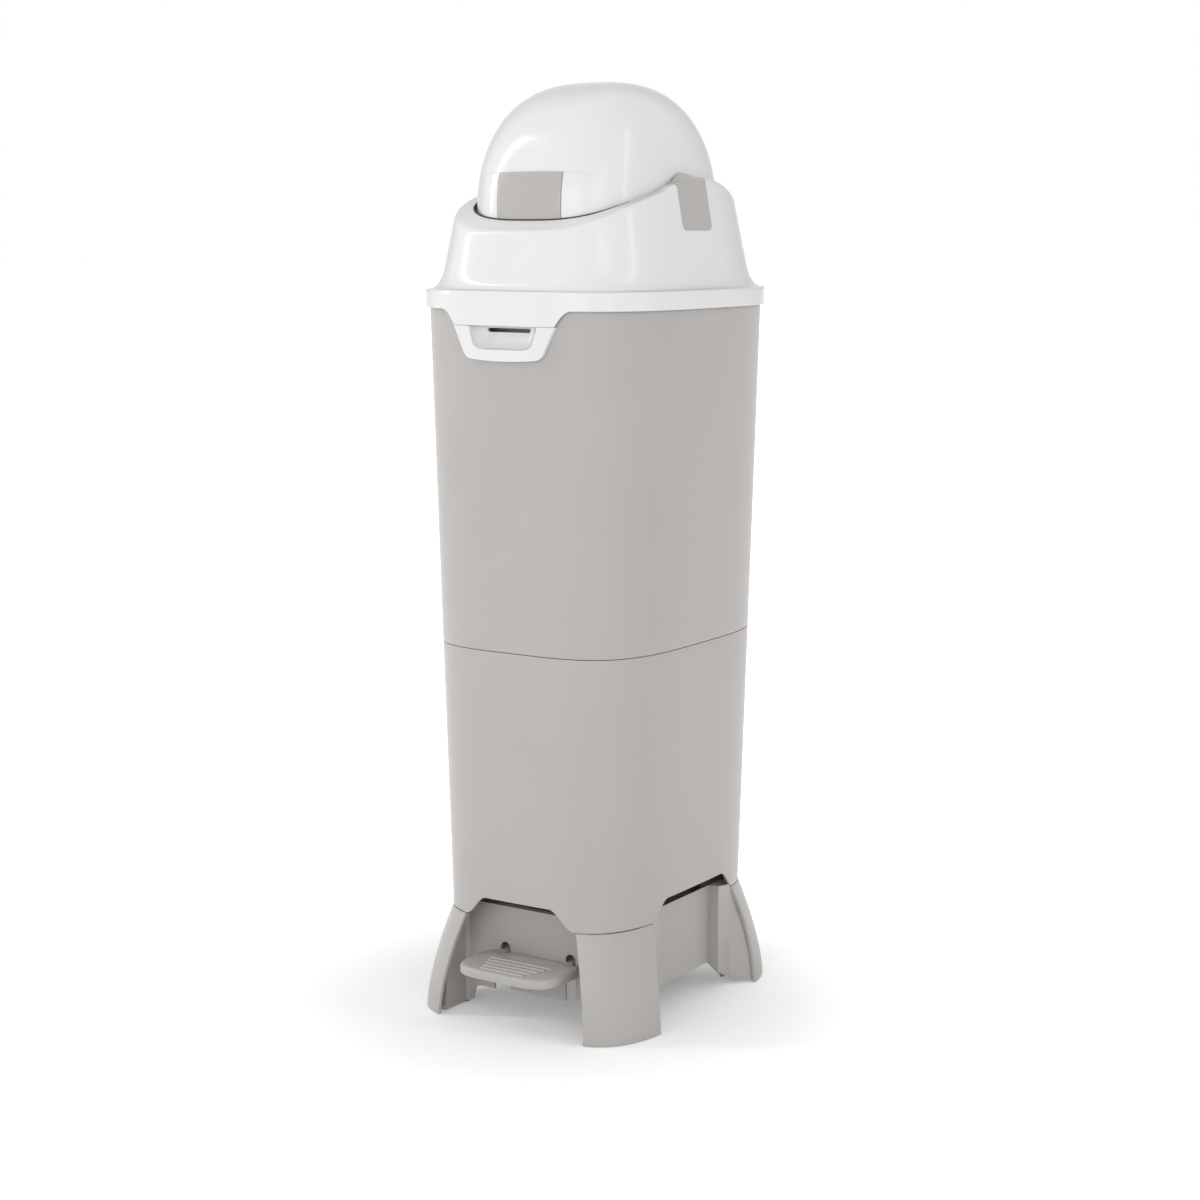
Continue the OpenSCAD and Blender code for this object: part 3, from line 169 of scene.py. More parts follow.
def capped(grid):
    """A stack of closed loops with its two ends closed to a point."""
    grid = np.asarray(grid, float)
    ends = [np.repeat(grid[k].mean(0)[None], grid.shape[1], 0) for k in (0, -1)]
    return sheet_of(np.concatenate([[ends[0]], grid, [ends[1]]]), around=True)


def turned(part, mirror_x=False, mirror_y=False):
    """The same part on the other side; its faces are turned back outwards."""
    p, f = part
    p = p * np.array([-1 if mirror_x else 1, -1 if mirror_y else 1, 1])
    return p, f[:, ::-1] if mirror_x != mirror_y else f


def piece(name, body, material, part, replaced=(), thick=0, bevel=0, split=35, closed=False):
    """One visible piece from points and faces: seams welded, then wall, rounded rims and sharp edges."""
    points, faces = part
    mesh = bpy.data.meshes.new(name)
    mesh.from_pydata((points * MM).tolist(), [], faces.tolist())
    work = bmesh.new()
    work.from_mesh(mesh)
    bmesh.ops.remove_doubles(work, verts=work.verts, dist=1e-6)
    bmesh.ops.dissolve_degenerate(work, edges=work.edges, dist=1e-7)
    if closed:
        bmesh.ops.recalc_face_normals(work, faces=work.faces)
    work.to_mesh(mesh)
    work.free()
    mesh.polygons.foreach_set("use_smooth", np.ones(len(mesh.polygons), bool))
    mesh.materials.append(material)
    thing = bpy.data.objects.new(name, mesh)
    bpy.context.scene.collection.objects.link(thing)
    if thick:
        wall = thing.modifiers.new("wall", "SOLIDIFY")
        wall.thickness, wall.offset = thick * MM, -1
    if bevel:
        rim = thing.modifiers.new("rim", "BEVEL")
        rim.width, rim.segments, rim.limit_method = bevel * MM, 3, "ANGLE"
        rim.angle_limit = math.radians(50)
    if split:
        edge = thing.modifiers.new("edge", "EDGE_SPLIT")
        edge.split_angle = math.radians(split)
    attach(thing, body)
    if replaced:
        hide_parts(*replaced)
    return thing


# Finishes

# How many slow patches of tone a metre holds, and the grain's depth in metres.
PATCHES = 9.0
GRAIN_DEPTH = 0.00006


def value_group(name, sockets_in, sockets_out):
    """An empty shader group with the named sockets."""
    group = bpy.data.node_groups.new(name, "ShaderNodeTree")
    for label, kind in sockets_in:
        group.interface.new_socket(label, in_out="INPUT", socket_type=kind)
    for label, kind in sockets_out:
        group.interface.new_socket(label, in_out="OUTPUT", socket_type=kind)
    return group, group.nodes.new("NodeGroupInput"), group.nodes.new("NodeGroupOutput")


def map_range(nodes, links, source, low, high, to_low, to_high, smooth=False):
    """A value's span from low to high turned into another span."""
    node = nodes.new("ShaderNodeMapRange")
    node.inputs["From Min"].default_value, node.inputs["From Max"].default_value = low, high
    node.inputs["To Min"].default_value, node.inputs["To Max"].default_value = to_low, to_high
    if smooth:
        node.interpolation_type = "SMOOTHSTEP"
    links.new(source, node.inputs["Value"])
    return node.outputs["Result"]


def moulded_skin_group(coarser_by=0.28, coarse_share=0.35, tones=(0.3, 0.7)):
    """Fine grain as a height, from two noises of which one is coarser, and slow patches as a tone."""
    group, given, out = value_group(
        "moulded_skin",
        [("Vector", "NodeSocketVector"), ("Grain", "NodeSocketFloat"), ("Patches", "NodeSocketFloat")],
        [("Height", "NodeSocketFloat"), ("Tone", "NodeSocketFloat")])
    links = group.links
    fine, coarse, patch = (group.nodes.new("ShaderNodeTexNoise") for _ in range(3))
    fine.inputs["Detail"].default_value = 3
    coarse.inputs["Detail"].default_value = 2
    patch.inputs["Detail"].default_value = 3
    coarser = group.nodes.new("ShaderNodeMath")
    coarser.operation, coarser.inputs[1].default_value = "MULTIPLY", coarser_by
    links.new(given.outputs["Grain"], coarser.inputs[0])
    scales = (given.outputs["Grain"], coarser.outputs[0], given.outputs["Patches"])
    for node, scale in zip((fine, coarse, patch), scales):
        links.new(given.outputs["Vector"], node.inputs["Vector"])
        links.new(scale, node.inputs["Scale"])
    mix = group.nodes.new("ShaderNodeMix")
    mix.inputs["Factor"].default_value = coarse_share
    links.new(fine.outputs["Fac"], mix.inputs["A"])
    links.new(coarse.outputs["Fac"], mix.inputs["B"])
    links.new(mix.outputs["Result"], out.inputs["Height"])
    links.new(map_range(group.nodes, links, patch.outputs["Fac"], *tones, 0, 1), out.inputs["Tone"])
    return group


SKIN = moulded_skin_group()


def painted_shade_above(nodes, links, place, colour, heights, front=-0.105, behind=-0.095):
    """The colour, but near black above one of two heights in metres, of which one is for the front wall and
    one for what is behind it: painted shade for the shadow between the tray's top and the body's arched edge."""
    split = nodes.new("ShaderNodeSeparateXYZ")
    above = nodes.new("ShaderNodeMath")
    painted_shade = nodes.new("ShaderNodeMix")
    above.operation = "GREATER_THAN"
    painted_shade.data_type = "RGBA"
    painted_shade.inputs["B"].default_value = (0.02, 0.02, 0.02, 1)
    links.new(place, split.inputs[0])
    limit = map_range(nodes, links, split.outputs["Y"], front, behind, *heights)
    links.new(split.outputs["Z"], above.inputs[0])
    links.new(limit, above.inputs[1])
    links.new(above.outputs[0], painted_shade.inputs["Factor"])
    links.new(colour, painted_shade.inputs["A"])
    return painted_shade.outputs["Result"]


def dimmed_as_painted_shade(nodes, links, colour, painted_shade_share, start=0.45, full=0.85):
    """The colour, dimmed to a share where the surface turns away, so that white shows against white: painted
    shade at the outline.
    """
    weight = nodes.new("ShaderNodeLayerWeight")
    dim = nodes.new("ShaderNodeVectorMath")
    dim.operation = "SCALE"
    links.new(colour, dim.inputs["Vector"])
    share = map_range(nodes, links, weight.outputs["Facing"], start, full, 1, painted_shade_share, smooth=True)
    links.new(share, dim.inputs["Scale"])
    return dim.outputs["Vector"]


def finish_material(name, low, high, rough, grain=900.0, bump=0.15, metal=0.0, specular=0.5, stretch=None,
                    painted_shade=None, painted_shade_share=None):
    """A moulded or metal finish: colour between two tones, roughness between two values, the grain's bump,
    and
    where asked painted shade: near black above a height, and dimming where the surface turns away.
    """
    material = bpy.data.materials.new(name)
    material.use_nodes = True
    nodes, links = material.node_tree.nodes, material.node_tree.links
    shader = nodes["Principled BSDF"]
    place = nodes.new("ShaderNodeTexCoord").outputs["Object"]
    vector = place
    if stretch:
        mapping = nodes.new("ShaderNodeMapping")
        mapping.inputs["Scale"].default_value = stretch
        links.new(vector, mapping.inputs["Vector"])
        vector = mapping.outputs["Vector"]
    skin = nodes.new("ShaderNodeGroup")
    skin.node_tree = SKIN
    skin.inputs["Grain"].default_value = grain
    skin.inputs["Patches"].default_value = PATCHES
    links.new(vector, skin.inputs["Vector"])
    tone = nodes.new("ShaderNodeMix")
    tone.data_type = "RGBA"
    tone.inputs["A"].default_value = (*low, 1)
    tone.inputs["B"].default_value = (*high, 1)
    links.new(skin.outputs["Tone"], tone.inputs["Factor"])
    colour = tone.outputs["Result"]
    # Painted shade: near black above a height.
    if painted_shade:
        colour = painted_shade_above(nodes, links, place, colour, painted_shade)
    # Painted shade: the colour dimmed where the surface turns away.
    if painted_shade_share:
        colour = dimmed_as_painted_shade(nodes, links, colour, painted_shade_share)
    links.new(colour, shader.inputs["Base Color"])
    links.new(map_range(nodes, links, skin.outputs["Tone"], 0, 1, *rough), shader.inputs["Roughness"])
    relief = nodes.new("ShaderNodeBump")
    relief.inputs["Strength"].default_value = bump
    relief.inputs["Distance"].default_value = GRAIN_DEPTH
    links.new(skin.outputs["Height"], relief.inputs["Height"])
    links.new(relief.outputs["Normal"], shader.inputs["Normal"])
    shader.inputs["Metallic"].default_value = metal
    shader.inputs["Specular IOR Level"].default_value = specular
    return material


BODY_GREY = finish_material("body_grey_plastic", (0.474, 0.452, 0.436), (0.490, 0.468, 0.452), (0.36, 0.42),
                            grain=1500, bump=0.25)
FOOT_GREY = finish_material("foot_grey_plastic", (0.462, 0.441, 0.424), (0.480, 0.458, 0.441), (0.38, 0.44),
                            grain=1500, bump=0.25)
# The tray's finish has painted shade: near black on its top, as the shadow under the body's arched edge.
TRAY_GREY_WITH_PAINTED_SHADE = finish_material("tray_grey_plastic", (0.462, 0.441, 0.424), (0.480, 0.458, 0.441), (0.40, 0.46),
                            grain=1500, bump=0.25, painted_shade=(0.110, 0.1126))
CAP_GREY = finish_material("cap_grey_plastic", (0.486, 0.467, 0.448), (0.504, 0.484, 0.465), (0.24, 0.30),
                           grain=500, bump=0.08)
# The white finish has painted shade, dimmed where the surface turns away.
WHITE_WITH_PAINTED_SHADE = finish_material("white_gloss_plastic", (0.845, 0.848, 0.850), (0.862, 0.865, 0.867), (0.15, 0.19),
                        grain=160, bump=0.05, specular=0.4, painted_shade_share=0.72)
NYLON = finish_material("natural_nylon", (0.70, 0.69, 0.65), (0.74, 0.73, 0.69), (0.38, 0.46),
                        grain=700, bump=0.2)
STEEL = finish_material("drawn_steel", (0.50, 0.505, 0.52), (0.60, 0.605, 0.62), (0.24, 0.36),
                        grain=260, metal=1.0, stretch=(1, 12, 12), bump=0.2)
SPRING_STEEL = finish_material("spring_steel", (0.46, 0.465, 0.48), (0.58, 0.585, 0.60), (0.2, 0.32),
                               grain=900, metal=1.0, bump=0.15)
RUBBER = finish_material("soft_rubber", (0.030, 0.030, 0.032), (0.042, 0.042, 0.044), (0.6, 0.72),
                         grain=1200, bump=0.35)

CAD_FINISH = {"body_grey": BODY_GREY, "foot_grey": FOOT_GREY, "head_white": WHITE_WITH_PAINTED_SHADE, "cap_grey": CAP_GREY,
              "nylon": NYLON, "steel": STEEL, "rubber": RUBBER}


def dress(node, finish):
    """A carried-over solid gets its finish and smooth faces with sharp edges; its mesh stays as it is."""
    for holder in node.material_slots:
        holder.link = "OBJECT"
        holder.material = finish
    node.data.polygons.foreach_set("use_smooth", np.ones(len(node.data.polygons), bool))
    node.modifiers.new("weld", "WELD").merge_threshold = 1e-6
    node.modifiers.new("edge", "EDGE_SPLIT").split_angle = math.radians(28)


# The tray takes the finish with painted shade on its top.
for entry in frame["record"]["subparts"]:
    tray = entry["node"] == "base_tray"
    dress(frame["nodes"][entry["node"]], TRAY_GREY_WITH_PAINTED_SHADE if tray else CAD_FINISH[entry["material_slot"]])


# Body

SHARES = np.arange(RING_COLUMNS) / RING_COLUMNS

# Arches in the body's lower edge: how far from the middle each starts and reaches its full rise.
ARCH_RISE = 20.5
FRONT_ARCH = (66, 38)
SIDE_ARCH = (78, 49)
REAR_SIDE_ARCH = (88, 57)


def between(low, high, share):
    """A superellipse part of the way from one to another."""
    return (a + (b - a) * share for a, b in zip(low, high))


def body_ring(z, inset=0):
    """The body's ring at height z: its half sizes and its roundness run straight from feet to head."""
    w, d, n = between(LOW, TOP, (z - LEG_TOP) / (HEAD_LOW - LEG_TOP))
    return lame(w - inset, d - inset, n, SHARES)


def table_of(ring, heights):
    """Rings at even heights, so that a column's place at any height between is read from two of them."""
    stack = np.stack([ring(z) for z in heights])
    column = np.arange(stack.shape[1])

    def at(z):
        k = np.clip((z - heights[0]) / (heights[1] - heights[0]), 0, len(heights) - 1.001)
        low = k.astype(int)
        part = (k - low)[:, None]
        return level(stack[low, column] * (1 - part) + stack[low + 1, column] * part, z)
    return at


def arch_height(xy, side_from=0.93):
    """Height of the arch cut in the body's lower edge: flat in the middle, half a cosine at each shoulder.
    The side begins at a share of the half width."""
    x, y = np.abs(xy[:, 0]), np.abs(xy[:, 1])
    low, high = (np.where(xy[:, 1] < 0, a, b) for a, b in zip(SIDE_ARCH, REAR_SIDE_ARCH))
    side = smoothed((low - y) / (low - high))
    front = smoothed((FRONT_ARCH[0] - x) / (FRONT_ARCH[0] - FRONT_ARCH[1]))
    on_side = x > side_from * LOW[0]
    return ARCH_RISE * np.where(on_side, side, front)


def lower_body(rows=36, crowding=1.6):
    """Rings from the arched lower edge to the seam, closer together near the edge."""
    at = table_of(body_ring, np.arange(LEG_TOP - 3.0, SEAM + 9.0, 4.0))
    low = LEG_TOP + PARTING + arch_height(body_ring(LEG_TOP))
    low = LEG_TOP + PARTING + arch_height(at(low)[:, :2])
    steps = np.linspace(0, 1, rows) ** crowding
    return sheet_of([at(low + (SEAM - PARTING - low) * s) for s in steps], around=True)


def floor_plate(low=130, thick=2.5, gap=0.1):
    """A flat plate across the body, its outline the body's own inner ring."""
    rows = [level(body_ring(z, WALL + gap) * scale, z)
            for z, scales in ((low, (0, 0.5, 1)), (low + thick, (1, 0.5, 0))) for scale in scales]
    return sheet_of(rows, around=True)


# The finger scoop: its lowest height, half its width there, and by how much its rounded corners and the
# slant of its sides widen it, each over a height.
SCOOP_LOW = 680.2
SCOOP_HALF = 23
SCOOP_CORNER = (10.5, 7)
SCOOP_SLANT = (6.5, 22.4)


def scoop_half(z):
    """Half width of the finger scoop at height z: rounded at its lower corners, slanting outwards above."""
    up = z - SCOOP_LOW
    corner = np.sqrt(np.clip(1 - (1 - np.clip(up / SCOOP_CORNER[1], 0, 1)) ** 2, 0, 1))
    return SCOOP_HALF + SCOOP_CORNER[0] * corner + SCOOP_SLANT[0] * up / SCOOP_SLANT[1]


def upper_body(fine_low=662, fine_high=712, room=3, room_below=2.5):
    """Rings from the seam to inside the flange, closer together round the catch, with a window behind it that
    leaves its scoop some room."""
    at = table_of(body_ring, np.arange(SEAM - 3.0, HEAD_LOW + 6.0, 4.0))
    rows = np.concatenate([np.linspace(SEAM + PARTING, fine_low - 2, 28),
                           np.linspace(fine_low, fine_high, 34), [fine_high + 4, BODY_TOP]])
    points, faces = sheet_of([at(np.full(RING_COLUMNS, z)) for z in rows], around=True)
    x, y, z = points[faces].mean(1).T
    beside = np.abs(x) < scoop_half(np.maximum(z, SCOOP_LOW)) + room
    window = beside & (z > SCOOP_LOW - room_below) & (z < TAB_LOW + room) & (y < 0)
    return points, faces[~window]


piece("body_lower", "bin", BODY_GREY, lower_body(), ["lower_body"], thick=WALL, bevel=0.5)
piece("body_floor", "bin", BODY_GREY, floor_plate(), closed=True)
piece("body_upper", "bin", BODY_GREY, upper_body(), ["upper_body"], thick=WALL, bevel=0.5)


# Feet

# Legs: where a leg's skin starts beside the side gap at the legs' top, how much further out it starts on the
# floor, and the power of its curve. The rear legs start further out than the front ones.
FRONT_EDGE = (73, 19, 1.8)
REAR_EDGE = (85, 17, 3.2)

# The same beside the front and rear gaps: half the gap's width at the top, how much it grows, the power.
GAP_EDGE = (67, 21.5, 1.6)

# The inner ring on which the webs meet the skins, and the corners of the post between tray and side web.
LEG_INSET = 3.4
POST_X = (97, 111.8)
POST_Y = (59, 83.5)


def foot_ring(z, inset=0, points=4000):
    """A quarter of the feet's ring at height z, finely: it widens downwards by a power of the height."""
    w, d, n = between(LOW, FOOT, 1 - (z / LEG_TOP) ** FLARE)
    return lame(w - inset, d - inset, n, np.linspace(0, 0.25, points))


def edge_at(z, edge):
    """Where the edge of a leg's skin lies at height z: it moves outwards below by a power of the height."""
    top, grow, power = edge
    return top + grow * (1 - (z / LEG_TOP) ** power)


def leg(edge, columns=64, rows=48, low=0.6):
    """One leg's outside: at each height the ring's arc between the side gap and the front gap."""
    grid = []
    for z in np.linspace(low, LEG_TOP - PARTING, rows):
        xy = foot_ring(z)
        run = run_of(xy)
        first = np.interp(edge_at(z, edge), xy[:, 1], run)
        last = np.interp(-edge_at(z, GAP_EDGE), -xy[:, 0], run)
        along = np.linspace(first, last, columns)
        x, y = (np.interp(along, run, xy[:, axis]) for axis in (0, 1))
        grid.append(level(np.stack([x, y], -1), z))
    return sheet_of(grid)


def foot_plate(low=3, thick=2.5, inset=4.2, left=91.5, right=100, front=105, middle=(112.0, 124.0),
               every=40):
    """The level plate at the bottom of a leg: its outer edge is the ring's arc, its inner edge steps round
    the tray's corner."""
    xy = foot_ring(low, inset)
    arc = xy[(xy[:, 1] > front) & (xy[:, 0] > left)][::every]
    inside = [[left, arc[-1, 1]], [left, TRAY_WALL], [right, TRAY_WALL], [right, front], [arc[0, 0], front]]
    edge = np.concatenate([arc, inside])
    rows = [level(middle + (edge - middle) * scale, z)
            for scale, z in ((0, low), (1, low), (1, low + thick), (0, low + thick))]
    return sheet_of(rows, around=True)


def front_web(x=88.5, thick=8, front=150, chamfer=3, rows=40, gap=1.2):
    """An upright web beside the front gap, from the tray's wall towards the skin, chamfered at the wall."""
    loops = []
    for z in np.linspace(gap, LEG_TOP - gap, rows):
        xy = foot_ring(z, LEG_INSET)
        far = min(front, np.interp(-(x + thick), -xy[:, 0], xy[:, 1]))
        loops.append([[x + thick, TRAY_WALL, z], [x + thick, far, z], [x, far, z],
                      [x, TRAY_WALL + chamfer, z], [x - chamfer, TRAY_WALL, z]])
    return capped(loops)


def side_web(edge, rows=40, thick=4):
    """The post at the tray's corner beside the side gap, and the web from it out to the skin's edge. Each of
    its seven corners rises from its height in foot to its height in head."""
    # The foot steps down from the tray's lower edge to just above the floor.
    foot = np.array([29, 20, 7, 2.5, 2.5, 7, 7])
    head = np.array([113, 113, 110, 106, 106, 110, 113])
    inner, outer = POST_X
    near, far = POST_Y
    loops = []
    for share in np.linspace(0, 1, rows):
        z = foot * (1 - share) + head * share
        x = np.array([inner, outer, outer, 0, 0, outer, inner], float)
        y = np.array([near, near, far, 0, 0, far + thick, far + thick], float)
        for corner, behind in ((3, 2), (4, 5)):
            xy = foot_ring(z[corner], LEG_INSET)
            y[corner] = edge_at(z[corner], edge) + behind
            x[corner] = np.interp(y[corner], xy[:, 1], xy[:, 0])
        loops.append(np.stack([x, y, z], -1))
    return capped(loops)


def tray_skirt(rows=12, start=86, length=32, low=2.5, rise=17.5, top=30, thick=2.75, sunk=0.15,
               rounded=0.55):
    """The tray's front wall below the pedal: its lower edge rises in a quarter round from the web's foot."""
    front = TRAY_WALL + sunk
    back = front - thick
    loops = []
    for share in np.linspace(0, 1, rows):
        x = start - length * share
        z = low + rise * math.sqrt(1 - (1 - min(share / rounded, 1)) ** 2)
        loops.append([[x, back, top], [x, front, top], [x, front, z], [x, back, z]])
    return capped(loops)


def at_corners(front, rear):
    """A part of the front legs and one of the rear legs, each on both sides."""
    return joined(*(turned(part, mirror_x, mirror_y) for mirror_x in (False, True)
                    for part, mirror_y in ((front, True), (rear, False))))


plain = joined(front_web(), foot_plate())
webs = joined(at_corners(plain, plain), at_corners(side_web(FRONT_EDGE), side_web(REAR_EDGE)),
              *(turned(tray_skirt(), mirror_x, True) for mirror_x in (False, True)))
piece("foot_skins", "bin", FOOT_GREY, at_corners(leg(FRONT_EDGE), leg(REAR_EDGE)), ["base_legs"],
      thick=FOOT_SKIN, bevel=0.9)
piece("foot_webs", "bin", FOOT_GREY, webs, closed=True, split=30)


# Head

# The rim seen from the side, rising from the front to the pivots and falling behind them: places along the
# bin as shares of the flange's half depth, and heights as shares of RIM_RISE above RIM_LOW. A bell curve,
# RIM_SOFT wide, in steps of RIM_STEP takes its corners away. NECK_END is a height that the rim never reaches.
RIM_LOW = 793
RIM_RISE = 53
RIM_Y = FLANGE[1] * np.array([-1.0934, -0.862, -0.7456, -0.5915, -0.4321, -0.2895, -0.177, -0.0521, 0.0833,
                              0.1978, 0.3124, 0.4165, 0.4998, 0.5831, 0.6873, 0.781, 0.833, 0.8695, 0.8976,
                              1.0934])
RIM_Z = RIM_LOW + RIM_RISE * np.array([-0.10, -0.035, 0.19, 0.425, 0.585, 0.70, 0.83, 0.90, 0.95, 0.965, 0.94,
                                       0.86, 0.77, 0.68, 0.63, 0.57, 0.47, 0.31, 0.10, -0.12])
RIM_SOFT = 4.5
RIM_STEP = 0.5
NECK_END = 872


def soft_rim(far=190, reach=30):
    """The rim's places and heights at fine steps, its corners smoothed over some steps to each side."""
    y = np.arange(-far, far + RIM_STEP, RIM_STEP)
    bell = np.exp(-0.5 * (np.arange(-reach, reach + 1) * RIM_STEP / RIM_SOFT) ** 2)
    z = np.pad(np.interp(y, RIM_Y, RIM_Z), reach, mode="edge")
    return y, np.convolve(z, bell / bell.sum(), "valid")


SOFT_RIM = soft_rim()


def rim_height(y):
    """Height of the rim at a place along the bin."""
    return np.interp(y, *SOFT_RIM)


def flange_ring(inset, z):
    """The head's ring drawn in by inset, at height z (a number or one height a column)."""
    return level(lame(FLANGE[0] - inset, FLANGE[1] - inset, FLANGE[2], SHARES), z)


def neck_ring(z):
    """The leaning neck's ring at height z."""
    return flange_ring(COVE_IN + (z - COVE_TOP) * NECK_LEAN, z)[:, :2]


def tab_edge(x, half=76, side=17.5):
    """Lower edge of the head: level, but for the tab over the catch, whose sides flare out upwards."""
    share = np.arcsin(np.clip((half - np.abs(x)) / side, 0, 1)) * 2 / np.pi
    return HEAD_LOW - (HEAD_LOW - TAB_LOW) * smoothed(share)


def drum_measure(x, across, grow=0):
    """Where a point lies against the drum, grown by grow, as a share of the way out: two superellipses of its
    places along and across the pivot's axis, a bowed one for the top and a squarer one for the ends, joined
    by a smooth maximum."""
    bowed, ends = (((np.abs(x) / (w + grow)) ** n + (across / (DRUM_R + grow)) ** n) ** (1 / n)
                   for w, n in (DRUM_BOW, DRUM_END))
    return (bowed ** DRUM_BLEND + ends ** DRUM_BLEND) ** (1 / DRUM_BLEND)


def drum_radius(x, grow, beyond=5):
    """The drum's radius across the pivot's axis at a place along it, grown by grow."""
    axis = np.zeros(np.broadcast(x, grow).shape)
    return halved(lambda across: drum_measure(x, across, grow) < 1, axis, axis + DRUM_R + beyond)


def drum_reach(direction, height, grow):
    """How far along a level direction, as a share of it, the drum grown by grow reaches. height gives the
    height above the pivot for a place along the bin."""
    def inside(share):
        x, y = (direction * share[:, None]).T
        return drum_measure(x, np.hypot(y, height(y)), grow) < 1
    return halved(inside, np.zeros(len(direction)), np.ones(len(direction)))


def drum_gap_ring(direction, grow):
    """The ring at the rim's height where the drum, grown by grow, would meet it."""
    xy = direction * drum_reach(direction, lambda y: rim_height(y) - PIVOT, grow)[:, None]
    return level(xy, rim_height(xy[:, 1]))


def flange_rows():
    """The flange's band from the tab's edge up, and its rounded top."""
    base = flange_ring(0, HEAD_LOW)
    low = np.where(base[:, 1] < 0, tab_edge(base[:, 0]), HEAD_LOW)
    straight = FLANGE_TOP - FLANGE_ROUND
    rows = [flange_ring(0, low + (straight - low) * share) for share in np.linspace(0, 1, 10)]
    for a in np.linspace(0, np.pi / 2, 5)[1:]:
        rows.append(flange_ring(FLANGE_ROUND * (1 - np.cos(a)), straight + FLANGE_ROUND * np.sin(a)))
    return rows


def cove_rows(level_pull=10.3, neck_pull=13.8):
    """The hollow curve, a cubic one: it leaves the flange level and arrives with the neck's lean."""
    rows = []
    for s in np.linspace(0, 1, 20)[1:]:
        shares = ((1 - s) ** 3, 3 * s * (1 - s) ** 2, 3 * s * s * (1 - s), s ** 3)
        inset = np.dot(shares, (FLANGE_ROUND, level_pull, COVE_IN - NECK_LEAN * neck_pull, COVE_IN))
        z = np.dot(shares, (FLANGE_TOP, FLANGE_TOP, COVE_TOP - neck_pull, COVE_TOP))
        rows.append(flange_ring(inset, z))
    return rows


def head(rim_round=5.0, lip_round=2.0, lip=3.5, rim_most=0.45, lip_most=0.3):
    """Flange band, hollow curve and leaning neck, rounded over the rim, then the land to the drum's gap. The
    two roundings take a share of the land at most."""
    heights = np.arange(float(COVE_TOP), NECK_END)
    wall_at = table_of(neck_ring, heights)
    over = np.stack([z - rim_height(neck_ring(z)[:, 1]) for z in heights])
    k, column = np.argmax(over > 0, 0), np.arange(RING_COLUMNS)
    top = heights[k - 1] + over[k - 1, column] / (over[k - 1, column] - over[k, column])
    corner = wall_at(top)
    reach = drum_reach(corner[:, :2], lambda y: rim_height(y) - PIVOT, DRUM_GAP)
    width = np.linalg.norm(corner[:, :2], axis=1) * (1 - reach)

    def land(share):
        xy = corner[:, :2] * (1 + (reach - 1) * share)[:, None]
        return level(xy, rim_height(xy[:, 1]))
    rows = flange_rows() + cove_rows()
    rows += [wall_at(COVE_TOP + (top - rim_round - COVE_TOP) * share) for share in np.linspace(0, 1, 26)[1:]]
    first, last = np.minimum(rim_round / width, rim_most), 1 - np.minimum(lip_round / width, lip_most)
    rows += bezier(rows[-1], corner, land(first), 8)[1:]
    rows += [land(first + (last - first) * share) for share in np.linspace(0, 1, 8)[1:]]
    inner = land(np.ones(RING_COLUMNS))
    rows += bezier(land(last), inner, inner - [0, 0, lip_round], 6)[1:]
    rows.append(inner - [0, 0, lip])
    return sheet_of(rows, around=True)


def shelf(low=722.6, high=725, outer=2.3, inner=9):
    """The ledge inside the flange that the gasket sits under."""
    corners = ((outer, low), (inner, low), (inner, high), (outer, high), (outer, low))
    return sheet_of([flange_ring(inset, z) for inset, z in corners], around=True)


def rim_seal(middle, reach=47, columns=200, tall=0.9, sunk=0.4, foot=3.0, outer=3.0, inner=2.2,
             cut_in=0.2, cut_down=0.3, sinking=0.45):
    """A soft bead along the rim's inner edge, round a middle direction in degrees. Its two upper edges are
    cut back, and it sinks over a share of its length at both ends."""
    share = np.linspace(-1, 1, columns)
    a = np.radians(middle + reach * share)
    far = np.stack([np.cos(a), np.sin(a)], -1) * 2 * DRUM_R
    up = tall * smoothed((1 - np.abs(share)) / sinking) - sunk

    def line(grow, rise):
        ring = drum_gap_ring(far, grow)
        return level(ring[:, :2], ring[:, 2] + rise)
    loop = [line(outer, -foot), line(outer, up - cut_down), line(outer - cut_in, up),
            line(inner + cut_in, up), line(inner, up - cut_down), line(inner, -foot)]
    return capped(np.stack(loop, 1)[:, ::-1])


piece("head_shell", "head", WHITE_WITH_PAINTED_SHADE, head(), ["head_housing"], thick=WALL, bevel=0.5)
piece("head_shelf", "head", WHITE_WITH_PAINTED_SHADE, shelf(), closed=True)
piece("rim_seals", "head", RUBBER, joined(rim_seal(-90), rim_seal(90)), ["dome_seal"], closed=True)


# Drum

def drum_plan(z, grow, columns=360):
    """The drum's outline at height z, grown by grow."""
    a = np.linspace(0, 2 * np.pi, columns, endpoint=False)
    far = np.stack([np.cos(a), np.sin(a)], -1) * 2 * DRUM_R
    return level(far * drum_reach(far, lambda y: z - PIVOT, grow)[:, None], z)


def dome(columns=360, rows=90):
    """Drum surface seen from its middle: for each direction, the distance where the drum's measure is 1,
    from the mouth's plane up to the top."""
    turn = np.linspace(0, 2 * np.pi, columns, endpoint=False)

    def place(up):
        ray = np.stack([np.cos(turn) * np.cos(up), np.sin(turn) * np.cos(up), np.sin(up)])
        return (ray / drum_measure(ray[0], np.hypot(ray[1], ray[2]))).T
    mouth = halved(lambda up: place(up)[:, 2] < MOUTH - PIVOT, np.full(columns, -np.pi / 2 + 0.01),
                   np.zeros(columns))
    grid = [place(mouth + (np.pi / 2 - mouth) * share) for share in np.linspace(0, 1, rows)]
    return sheet_of(np.array(grid) + [0, 0, PIVOT], around=True)


def mouth_lip(tall=3, outer=-1.3, inner=-8.5):
    """The stiffened lip inside the mouth: a closed band between two outlines of the drum."""
    corners = ((0, outer), (0, inner), (tall, inner), (tall, outer), (0, outer))
    return sheet_of([drum_plan(MOUTH + up, grow) for up, grow in corners], around=True)


